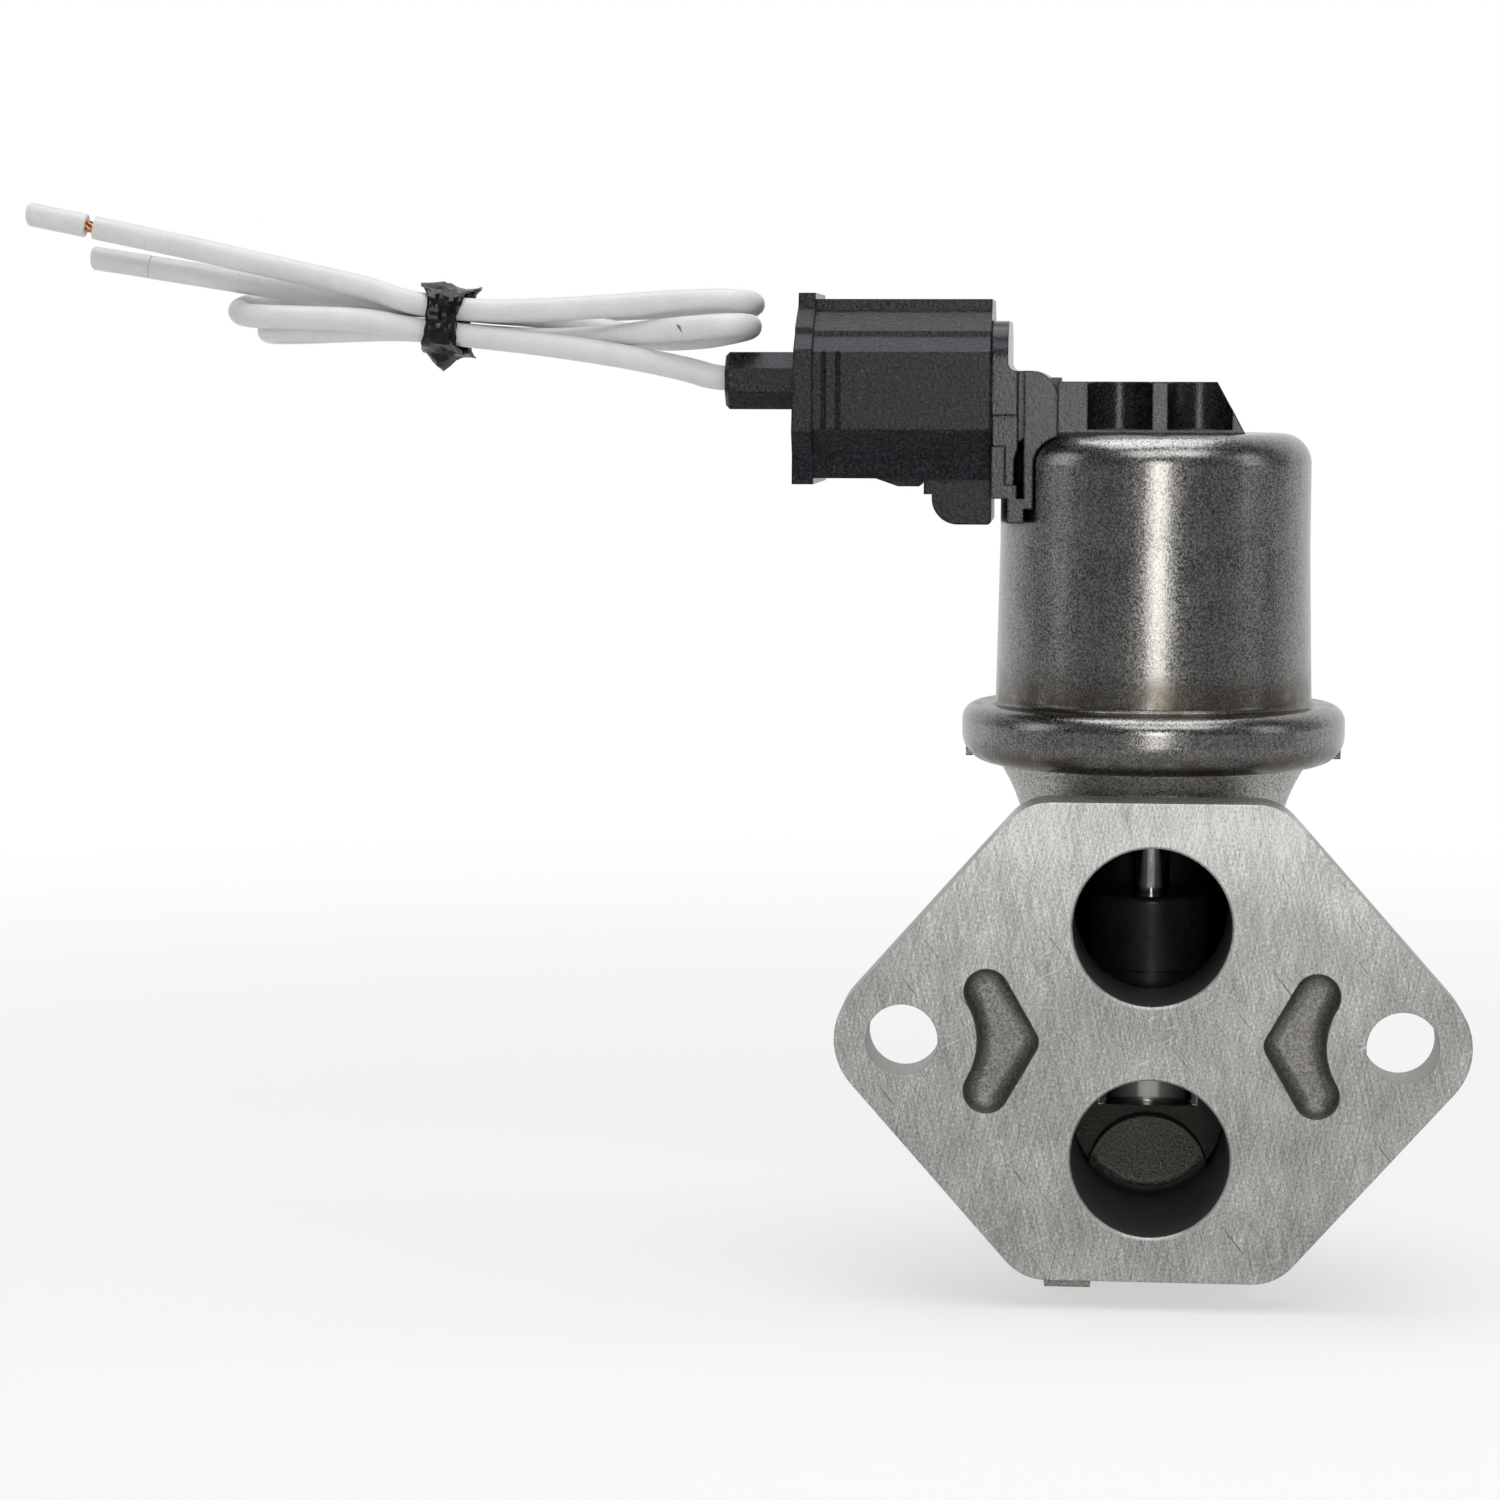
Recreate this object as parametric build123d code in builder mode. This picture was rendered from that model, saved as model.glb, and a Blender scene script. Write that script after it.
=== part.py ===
from build123d import *
import os
from math import acos, atan2, cos, degrees, pi, radians, sin, tan

# Idle air control valve with its connector pigtail, in millimetres.
# The origin is the centre of the bolt pattern on the machined flange face.
# -Y leaves the flange face, +Z runs up the solenoid axis and -X points to the plug.

os.makedirs("parts", exist_ok=True)

# Fits
running_clearance = 0.05
press_clearance = 0.01
seat_clearance = 0.1
loose_clearance = 0.3

# Flange
bolt_spacing = 48.2
bolt_hole_diameter = 7.0
flange_end_radius = 6.6
flange_height = 46.7
flange_corner_radius = 5.25
flange_corner_spacing = 19.8
flange_thickness = 6.9
port_diameter = 15.4
port_spacing = 22.6
pocket_depth = 2.8
pocket_lobe_radius = 2.25
pocket_lobe_spacing = 9.7
pocket_lobe_offset = 8.2
pocket_tip_radius = 1.7
pocket_tip_offset = 11.6
pocket_draft = 6.0
pocket_floor_round = 1.6
port_edge_break = 0.2

# Valve bore in the body
axis_offset = 20.6
chamber_radius = 8.5
chamber_wall = 4.5
seat_height = 3.2
seat_radius = 5.5
seat_land = 3.0
lower_bore_radius = 6.5
lower_bore_depth = 13.6
lower_port_overrun = 1.5
lower_port_round = 1.5
core_stub_radius = 6.1
core_stub_height = 2.7
core_stub_drop = 5.9
column_bottom_drop = 21.5
column_edge_radius = 2.5
web_half_width = 11.5
neck_height = 5.6
neck_hollow = 0.3
neck_gap = 0.4
gate_stub_width = 5.5
gate_stub_depth = 4.0
gate_stub_offset = 7.95
gate_stub_reach = 4.6
gate_stub_draft = 6.0

# Solenoid can and its crimped collar
collar_gap = 2.2
collar_radius = 19.2
collar_edge_radius = 1.7
crimp_reach = 3.3
crimp_bend = 2.9
rim_land = 0.15
can_radius = 15.5
can_wall = 1.2
can_height = 27.1
can_edge_radius = 3.0
can_foot_radius = 0.6
can_foot_flare = 0.35
can_flare_height = 16.0
crimp_lug_width = 1.6
crimp_lug_height = 1.5
crimp_lug_thickness = 0.7
crimp_lug_rise = 0.45
crimp_lug_inset = 0.75
can_mouth_radius = 7.6
can_slot_width = 11.0
can_slot_reach = 10.9

# Solenoid
base_plate_thickness = 1.7
guide_flange_radius = 11.0
guide_flange_thickness = 3.0
guide_hub_radius = 4.2
guide_hub_length = 6.0
seal_groove_inset = 3.5
seal_groove_width = 2.0
seal_groove_depth = 1.4
seal_round = 0.45
tube_bore_radius = 6.3
tube_wall = 0.4
tube_overlap = 4.0
pole_flange_thickness = 1.4
pole_stem_length = 7.7
pole_bore_radius = 3.4
pole_cap = 0.9
pole_notch_offset = 7.6
bobbin_wall = 0.9
bobbin_flange_thickness = 1.2
bobbin_flange_gap = 0.7
winding_inset = 0.8
upper_bush_length = 4.6

# Plunger
stroke = 3.0
shaft_radius = 1.9
shaft_tail_radius = 1.6
shaft_tail_reach = 1.9
shaft_end_chamfer = 0.3
poppet_radius = 6.0
poppet_height = 9.1
poppet_lip_radius = 6.6
poppet_lip_height = 1.6
poppet_edge_radius = 0.6
armature_lift = 1.4
armature_edge = 0.5
clip_radius = 3.4
clip_thickness = 0.6
clip_groove_radius = 1.1
clip_mouth = 1.9
spring_wire_radius = 0.25
spring_turns = 5
spring_coil_radius = 2.75

# Cover moulding and its connector socket
cover_height = 5.1
cover_half_width = 7.5
cover_left = 9.75
cover_right = 8.65
cover_slope = 2.7
flute_radius = 3.15
flute_centres = (-3.65, 4.2)
flute_floor = 0.4
cover_foot_clearance = 0.15
connector_rise = 4.9
socket_half_width = 10.05
socket_standoff = 0.7
socket_rim_thickness = 1.6
socket_rim_top = 6.15
socket_rim_bottom = 11.3
socket_rim_round = 3.8
socket_neck_round = 0.8
socket_groove_left = 2.5
socket_groove_width = 0.7
socket_groove_depth = 4.0
socket_plate_top = 1.25
socket_plate_round = 2.6
cheek_bottom = 13.7
cheek_toe = 1.9
cheek_step = 1.4
window_top = -3.1
window_bottom = -6.2
window_depth = 3.0
socket_notch_width = 1.2
socket_notch_sill = 1.3
shroud_gap = 0.6
shroud_half_width = 8.9
shroud_half_height = 5.9
shroud_wall = 1.5
shroud_corner = 3.0
bulkhead_thickness = 1.7
nib_width = 5.2
nib_length = 1.8
nib_height = 2.0

# Connector blades and the plug's terminals
terminal_rise = 0.2
terminal_pitch = 7.4
blade_width = 2.8
blade_thickness = 0.8
blade_inset = 2.3
blade_bend = 9.9
terminal_width = 4.2
terminal_height = 3.4
terminal_clearance = 0.1
terminal_inset = 1.2

# Plug housing
plug_length = 19.4
plug_mouth_gap = 0.1
plug_rear_wall = 4.7
plug_rake = 1.4
plug_half_width = 11.0
plug_top = 8.3
plug_bottom = 9.4
plug_crown_half_width = 6.0
plug_shelf_half_width = 9.4
plug_crown_height = 1.0
plug_slope_height = 2.2
plug_shelf_height = 0.5
plug_panel_top = 3.0
plug_panel_bottom = 4.6
plug_chin_half_width = 9.2
plug_chin_height = 2.1
plug_keel_half_width = 8.5
plug_clearance = 0.3
plug_core_half_width = 6.6
plug_core_half_height = 3.7
plug_core_gap = 1.0
plug_core_corner = 1.0
plug_lip = 0.6
plug_lip_length = 1.9
panel_line_depth = 0.25
panel_line_width = 0.3
panel_line_offsets = (3.0, 4.4)
ramp_length = 5.6
ramp_rise = 0.9
ramp_run = 2.6
ramp_offset = 7.4
ramp_half_width = 3.4
ear_length = 5.9
ear_drop = 4.6
ear_round = 2.6
ear_edge = 0.4
ear_half_width = 6.0
ear_step_length = 0.8
ear_step_drop = 1.6
ear_window_half_width = 3.0
ear_window_length = 2.8
ear_window_inset = 1.4
plug_seal_length = 3.6
tower_length = 7.2
tower_flats = 5.7
tower_sides = 8
tower_edge = 0.4
wire_seal_radius = 2.2
wire_seal_length = 5.2

# Wires
wire_diameter = 2.4
strand_diameter = 1.3
slug_gap = 0.9
slug_length = 6.0
strand_gap = 0.15
wire_straight = 0.8
bend_share = 0.45
tie_wall = 0.35
tie_length = 5.0
tie_waist = 0.35
tie_reach = 28.8
tie_rise = 6.0
tie_run = 3.6
tie_lean = 0.4
tie_clearance = 0.1

# Heights and places that follow from the sizes above
port_radius = port_diameter / 2
port_height = port_spacing / 2
bolt_x = bolt_spacing / 2
column_radius = chamber_radius + chamber_wall
crimp_bottom = flange_height / 2 + collar_gap
bend_centre = collar_radius - crimp_bend
crimp_lip_radius = collar_radius - crimp_reach
bend_height = crimp_bottom + crimp_bend
rim_radius = collar_radius - can_wall - seat_clearance
seal_groove_radius = rim_radius - seal_groove_inset
rim_bend = rim_radius - bend_centre
rim_top = bend_height + rim_land
neck_radius = crimp_lip_radius - neck_gap
neck_bottom = crimp_bottom - neck_height
plate_top = rim_top + base_plate_thickness
collar_top = plate_top + can_wall
collar_land = collar_radius - can_radius - can_foot_flare
can_top = collar_top + can_height
can_ceiling = can_top - can_wall
can_bore = can_radius - can_wall
guide_ledge = rim_top - guide_flange_thickness
tube_radius = tube_bore_radius + tube_wall
bobbin_top = can_ceiling - pole_flange_thickness
pole_bottom = bobbin_top - pole_stem_length
pole_bore_top = can_ceiling - pole_cap
bobbin_radius = tube_radius + press_clearance + bobbin_wall
bobbin_flange_radius = can_bore - bobbin_flange_gap
upper_bush_bottom = pole_bore_top - upper_bush_length
armature_radius = tube_bore_radius - loose_clearance
armature_top = pole_bottom - stroke - loose_clearance
armature_bottom = rim_top + armature_lift
poppet_bottom = seat_height + seat_clearance
poppet_top = poppet_bottom + poppet_height
shaft_top = pole_bore_top - loose_clearance - stroke
shaft_bottom = poppet_bottom - shaft_tail_reach
cover_top = can_top + cover_height
connector_z = can_top + connector_rise
terminal_z = connector_z + terminal_rise
terminal_y = (axis_offset - terminal_pitch / 2, axis_offset + terminal_pitch / 2)
socket_face = -(can_radius + socket_standoff)
bulkhead_face = socket_face - bulkhead_thickness
plug_mouth = socket_face - plug_mouth_gap
plug_rear = plug_mouth - plug_length
cavity_end = plug_rear + plug_rear_wall
shroud_tip = cavity_end + shroud_gap
core_tip = bulkhead_face - plug_core_gap
tower_end = plug_rear - tower_length
wire_radius = wire_diameter / 2
strand_pitch = wire_diameter + strand_gap

solenoid_axis = Axis((0, axis_offset, 0), (0, 0, 1))
half_section = Plane.XZ.offset(-axis_offset)


def level(height):
    """Horizontal sketch plane centred on the solenoid axis."""
    return Plane(origin=(0, axis_offset, height))


def across(x):
    """Sketch plane across the connector, its local y axis pointing up."""
    return Plane(origin=(x, axis_offset, connector_z), x_dir=(0, 1, 0), z_dir=(1, 0, 0))


def finish(part, name):
    """Label one finished piece and write it to its file."""
    part.label = name
    export_step(part, f"parts/{name}.step")


# Cast body: flange, column, neck and crimped rim, with the ports and the stepped bore
with BuildPart() as valve_body:
    with BuildSketch(level(-column_bottom_drop)):
        Circle(column_radius)
        with Locations((0, (flange_thickness / 2 - axis_offset) / 2)):
            Rectangle(2 * web_half_width, axis_offset - flange_thickness / 2)
    extrude(amount=column_bottom_drop + guide_ledge - chamber_wall)
    fillet(valve_body.edges().group_by(Axis.Z)[0], column_edge_radius)
    with BuildSketch(half_section):
        with BuildLine():
            neck_mid_radius = (column_radius + neck_radius) / 2 - neck_hollow
            Polyline((column_radius, neck_bottom), (0, neck_bottom), (0, rim_top), (rim_radius, rim_top))
            Line((rim_radius, rim_top), (rim_radius, bend_height))
            CenterArc((bend_centre, bend_height), rim_bend, 0, -90)
            Line((bend_centre, bend_height - rim_bend), (neck_radius, bend_height - rim_bend))
            Line((neck_radius, bend_height - rim_bend), (neck_radius, crimp_bottom))
            ThreePointArc(
                (neck_radius, crimp_bottom),
                (neck_mid_radius, (neck_bottom + crimp_bottom) / 2),
                (column_radius, neck_bottom),
            )
        make_face()
    revolve(axis=solenoid_axis)
    with BuildSketch(level(-column_bottom_drop)):
        with Locations((-gate_stub_offset, (flange_thickness + gate_stub_depth) - axis_offset)):
            Rectangle(gate_stub_width, gate_stub_depth)
    extrude(amount=-gate_stub_reach, taper=gate_stub_draft)
    with BuildSketch(Plane.XZ):
        with Locations((-bolt_x, 0), (bolt_x, 0)):
            Circle(flange_end_radius)
        with GridLocations(flange_corner_spacing, flange_height - 2 * flange_corner_radius, 2, 2):
            Circle(flange_corner_radius)
        make_hull()
    extrude(amount=-flange_thickness)
    with BuildSketch(Plane.XZ):
        with Locations((0, -port_height)):
            Circle(port_radius)
    extrude(amount=-(axis_offset + lower_port_overrun), mode=Mode.SUBTRACT)
    blind_end = valve_body.faces().filter_by(Axis.Y).sort_by_distance(
        (0, axis_offset + lower_port_overrun, -port_height)
    )[0]
    fillet(blind_end.edges(), lower_port_round)
    with BuildSketch(half_section):
        with Locations((0, -port_height)):
            Circle(port_radius)
        with Locations((0, -(port_height + core_stub_drop))):
            Circle(core_stub_radius, mode=Mode.SUBTRACT)
    extrude(amount=-(lower_port_overrun + core_stub_height), mode=Mode.SUBTRACT)
    with BuildSketch(Plane.XZ):
        with Locations((0, port_height)):
            Circle(port_radius)
        with Locations((-bolt_x, 0), (bolt_x, 0)):
            Circle(bolt_hole_diameter / 2)
    extrude(amount=-axis_offset, mode=Mode.SUBTRACT)
    with BuildSketch(half_section):
        bore_floor = seat_height - lower_bore_depth
        with BuildLine():
            Polyline(
                (0, bore_floor),
                (lower_bore_radius, bore_floor),
                (lower_bore_radius, seat_height - seat_land),
                (seat_radius, seat_height - seat_land),
                (seat_radius, seat_height),
                (chamber_radius, seat_height),
                (chamber_radius, guide_ledge),
                (guide_flange_radius, guide_ledge),
                (guide_flange_radius, rim_top),
                (0, rim_top),
                close=True,
            )
        make_face()
        with Locations((seal_groove_radius, rim_top - seal_groove_depth / 2)):
            Rectangle(seal_groove_width, seal_groove_depth)
    revolve(axis=solenoid_axis, mode=Mode.SUBTRACT)
    with BuildSketch(Plane.XZ):
        boss_centre = Vector(bolt_x, 0)
        lobe = Vector(bolt_x - pocket_lobe_offset, pocket_lobe_spacing / 2)
        tip = Vector(bolt_x - pocket_tip_offset, 0)
        boss_angle = degrees(atan2(-lobe.Y, pocket_lobe_offset))
        boss_radius = (lobe - boss_centre).length - pocket_lobe_radius
        side = tip - lobe
        side_turn = degrees(acos((pocket_lobe_radius - pocket_tip_radius) / side.length))
        side_angle = degrees(atan2(side.Y, side.X)) - side_turn + 360
        with BuildLine():
            CenterArc(boss_centre, boss_radius, 180, boss_angle)
            lobe_arc = CenterArc(lobe, pocket_lobe_radius, boss_angle, side_angle - boss_angle)
            tip_arc = CenterArc(tip, pocket_tip_radius, side_angle, 180 - side_angle)
            Line(lobe_arc @ 1, tip_arc @ 0)
            mirror(about=Plane.XZ)
        make_face()
        mirror(about=Plane.YZ)
    extrude(amount=-pocket_depth, taper=pocket_draft, mode=Mode.SUBTRACT)
    for pocket_x in (-lobe.X, lobe.X):
        floors = valve_body.faces().filter_by(Axis.Y)
        fillet(floors.sort_by_distance((pocket_x, pocket_depth, 0))[0].edges(), pocket_floor_round)
    for port_z in (-port_height, port_height):
        rings = valve_body.edges().filter_by(GeomType.CIRCLE)
        chamfer(rings.sort_by_distance((0, 0, port_z + port_radius))[0], port_edge_break)
finish(valve_body.part, "valve_body")

# Drawn can: closed top with a keyed mouth, collar rolled out and crimped under the body's rim
with BuildPart() as solenoid_can:
    with BuildSketch(half_section):
        with BuildLine():
            Polyline(
                (0, can_top),
                (can_radius, can_top),
                (can_radius, collar_top + can_flare_height),
                (can_radius + can_foot_flare, collar_top),
                (collar_radius, collar_top),
                (collar_radius, bend_height),
            )
            CenterArc((bend_centre, bend_height), crimp_bend, 0, -90)
            Polyline(
                (bend_centre, crimp_bottom),
                (crimp_lip_radius, crimp_bottom),
                (crimp_lip_radius, crimp_bottom + can_wall),
                (bend_centre, crimp_bottom + can_wall),
            )
            CenterArc((bend_centre, bend_height), crimp_bend - can_wall, -90, 90)
            Polyline(
                (collar_radius - can_wall, bend_height),
                (collar_radius - can_wall, plate_top),
                (can_bore, plate_top),
                (can_bore, can_ceiling),
                (0, can_ceiling),
                (0, can_top),
            )
        make_face()
    revolve(axis=solenoid_axis)
    for radius, height, rounding in (
        (can_radius, can_top, can_edge_radius),
        (can_bore, can_ceiling, can_edge_radius - can_wall),
        (collar_radius, collar_top, min(collar_edge_radius, collar_land - can_foot_radius - rim_land)),
        (can_radius + can_foot_flare, collar_top, can_foot_radius),
    ):
        rings = solenoid_can.edges().filter_by(GeomType.CIRCLE)
        fillet(rings.sort_by_distance((radius, axis_offset, height))[0], rounding)
    lug_x = collar_radius - crimp_lug_inset
    lug_z = crimp_bottom + crimp_lug_rise + crimp_lug_height / 2
    with Locations((-lug_x, axis_offset, lug_z), (lug_x, axis_offset, lug_z)):
        Box(crimp_lug_thickness, crimp_lug_width, crimp_lug_height)
    with BuildSketch(level(can_ceiling)):
        Circle(can_mouth_radius)
        with Locations((-can_slot_reach / 2, 0)):
            Rectangle(can_slot_reach, can_slot_width)
    extrude(amount=can_wall, mode=Mode.SUBTRACT)
finish(solenoid_can.part, "solenoid_can")

# Steel base plate, clamped between the body's rim and the can's collar
with BuildPart() as base_plate:
    with BuildSketch(level(rim_top)):
        Circle(rim_radius)
        Circle(tube_radius + press_clearance, mode=Mode.SUBTRACT)
    extrude(amount=base_plate_thickness)
finish(base_plate.part, "base_plate")

# Sealing ring, squeezed flat in the groove of the rim
with BuildPart() as rim_seal:
    with BuildSketch(half_section):
        with Locations((seal_groove_radius, rim_top - seal_groove_depth / 2)):
            RectangleRounded(
                seal_groove_width - 2 * seat_clearance,
                seal_groove_depth - 2 * press_clearance,
                seal_round,
            )
    revolve(axis=solenoid_axis)
finish(rim_seal.part, "rim_seal")

# Flanged lower bearing of the shaft, seated in the counterbore of the body
with BuildPart() as guide_bush:
    with BuildSketch(level(guide_ledge)):
        Circle(guide_flange_radius - press_clearance)
    extrude(amount=guide_flange_thickness)
    with BuildSketch(level(guide_ledge)):
        Circle(guide_hub_radius)
    extrude(amount=-guide_hub_length)
    with BuildSketch(level(guide_ledge - guide_hub_length)):
        Circle(shaft_radius + running_clearance)
    extrude(amount=guide_hub_length + guide_flange_thickness, mode=Mode.SUBTRACT)
finish(guide_bush.part, "guide_bush")

# Thin sleeve that the armature slides in, with the pole piece pressed into its top
with BuildPart() as guide_tube:
    with BuildSketch(level(rim_top)):
        Circle(tube_radius)
        Circle(tube_bore_radius, mode=Mode.SUBTRACT)
    extrude(amount=pole_bottom + tube_overlap - rim_top)
finish(guide_tube.part, "guide_tube")

# Fixed pole: a flange under the can's ceiling, notched for the blades, and a bored stem
with BuildPart() as pole_piece:
    with BuildSketch(level(bobbin_top)):
        Circle(can_bore - can_edge_radius + can_wall)
        with Locations((-(pole_notch_offset + can_bore / 2), 0)):
            Rectangle(can_bore, can_slot_width, mode=Mode.SUBTRACT)
    extrude(amount=pole_flange_thickness)
    with BuildSketch(level(pole_bottom)):
        Circle(tube_bore_radius - press_clearance)
    extrude(amount=pole_stem_length)
    with BuildSketch(level(pole_bottom)):
        Circle(pole_bore_radius)
    extrude(amount=pole_bore_top - pole_bottom, mode=Mode.SUBTRACT)
finish(pole_piece.part, "pole_piece")

# Upper bearing of the shaft, at the end of the pole's bore
with BuildPart() as upper_bush:
    with BuildSketch(level(upper_bush_bottom)):
        Circle(pole_bore_radius - press_clearance)
        Circle(shaft_radius + running_clearance, mode=Mode.SUBTRACT)
    extrude(amount=upper_bush_length)
finish(upper_bush.part, "upper_bush")

# Moulded bobbin and its copper winding
with BuildPart() as coil_bobbin:
    with BuildSketch(level(plate_top)):
        Circle(bobbin_radius)
    extrude(amount=bobbin_top - plate_top)
    for height in (plate_top, bobbin_top - bobbin_flange_thickness):
        with BuildSketch(level(height)):
            Circle(bobbin_flange_radius)
        extrude(amount=bobbin_flange_thickness)
    with BuildSketch(level(plate_top)):
        Circle(tube_radius + press_clearance)
    extrude(amount=bobbin_top - plate_top, mode=Mode.SUBTRACT)
finish(coil_bobbin.part, "coil_bobbin")

with BuildPart() as coil_winding:
    with BuildSketch(level(plate_top + bobbin_flange_thickness)):
        Circle(bobbin_flange_radius - winding_inset)
        Circle(bobbin_radius, mode=Mode.SUBTRACT)
    extrude(amount=bobbin_top - plate_top - 2 * bobbin_flange_thickness)
finish(coil_winding.part, "coil_winding")

# Plunger: stepped shaft, poppet held by a clip on its tail, and the armature
clip_top = poppet_bottom - press_clearance
clip_bottom = clip_top - clip_thickness
with BuildPart() as valve_shaft:
    with BuildSketch(half_section):
        with BuildLine():
            Polyline(
                (0, shaft_bottom),
                (shaft_tail_radius, shaft_bottom),
                (shaft_tail_radius, clip_bottom - press_clearance),
                (clip_groove_radius, clip_bottom - press_clearance),
                (clip_groove_radius, clip_top + press_clearance),
                (shaft_tail_radius, clip_top + press_clearance),
                (shaft_tail_radius, poppet_top),
                (shaft_radius, poppet_top),
                (shaft_radius, shaft_top),
                (0, shaft_top),
                close=True,
            )
        make_face()
    revolve(axis=solenoid_axis)
    chamfer(valve_shaft.edges().group_by(Axis.Z)[-1], shaft_end_chamfer)
    chamfer(valve_shaft.edges().group_by(Axis.Z)[0], shaft_end_chamfer)
finish(valve_shaft.part, "valve_shaft")

with BuildPart() as valve_poppet:
    with BuildSketch(level(poppet_bottom)):
        Circle(poppet_lip_radius)
    extrude(amount=poppet_lip_height)
    with BuildSketch(level(poppet_bottom)):
        Circle(poppet_radius)
    extrude(amount=poppet_height)
    fillet(valve_poppet.edges().group_by(Axis.Z)[-1], poppet_edge_radius)
    with BuildSketch(level(poppet_bottom)):
        Circle(shaft_tail_radius + press_clearance)
    extrude(amount=poppet_height, mode=Mode.SUBTRACT)
finish(valve_poppet.part, "valve_poppet")

with BuildPart() as shaft_clip:
    with BuildSketch(level(clip_bottom)):
        Circle(clip_radius)
        Circle(clip_groove_radius + press_clearance, mode=Mode.SUBTRACT)
        with Locations((clip_radius / 2, 0)):
            Rectangle(clip_radius, clip_mouth, mode=Mode.SUBTRACT)
    extrude(amount=clip_thickness)
finish(shaft_clip.part, "shaft_clip")

with BuildPart() as armature:
    with BuildSketch(level(armature_bottom)):
        Circle(armature_radius)
    extrude(amount=armature_top - armature_bottom)
    chamfer(armature.edges().filter_by(GeomType.CIRCLE), armature_edge)
    with BuildSketch(level(armature_bottom)):
        Circle(shaft_radius + press_clearance)
    extrude(amount=armature_top - armature_bottom, mode=Mode.SUBTRACT)
finish(armature.part, "armature")

# Return spring between the armature and the upper bearing
spring_height = upper_bush_bottom - armature_top - 2 * (spring_wire_radius + press_clearance)
spring_start = armature_top + spring_wire_radius + press_clearance
with BuildPart() as return_spring:
    with BuildLine() as coil:
        Helix(
            pitch=spring_height / spring_turns,
            height=spring_height,
            radius=spring_coil_radius,
            center=(0, axis_offset, spring_start),
        )
    with BuildSketch(Plane(origin=coil.line @ 0, z_dir=coil.line % 0)):
        Circle(spring_wire_radius)
    sweep(path=coil.line, is_frenet=True)
finish(return_spring.part, "return_spring")

# Cover moulding: fluted cap on the can, saddle plate with cheeks, and the connector socket
cheek_z = connector_z - cheek_bottom
groove_left = socket_face + socket_groove_left
groove_right = groove_left + socket_groove_width
rim_right = socket_face + socket_rim_thickness
blade_tip = shroud_tip + blade_inset
blade_path = ((blade_tip, terminal_z), (-blade_bend, terminal_z), (-blade_bend, bobbin_top))

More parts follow.
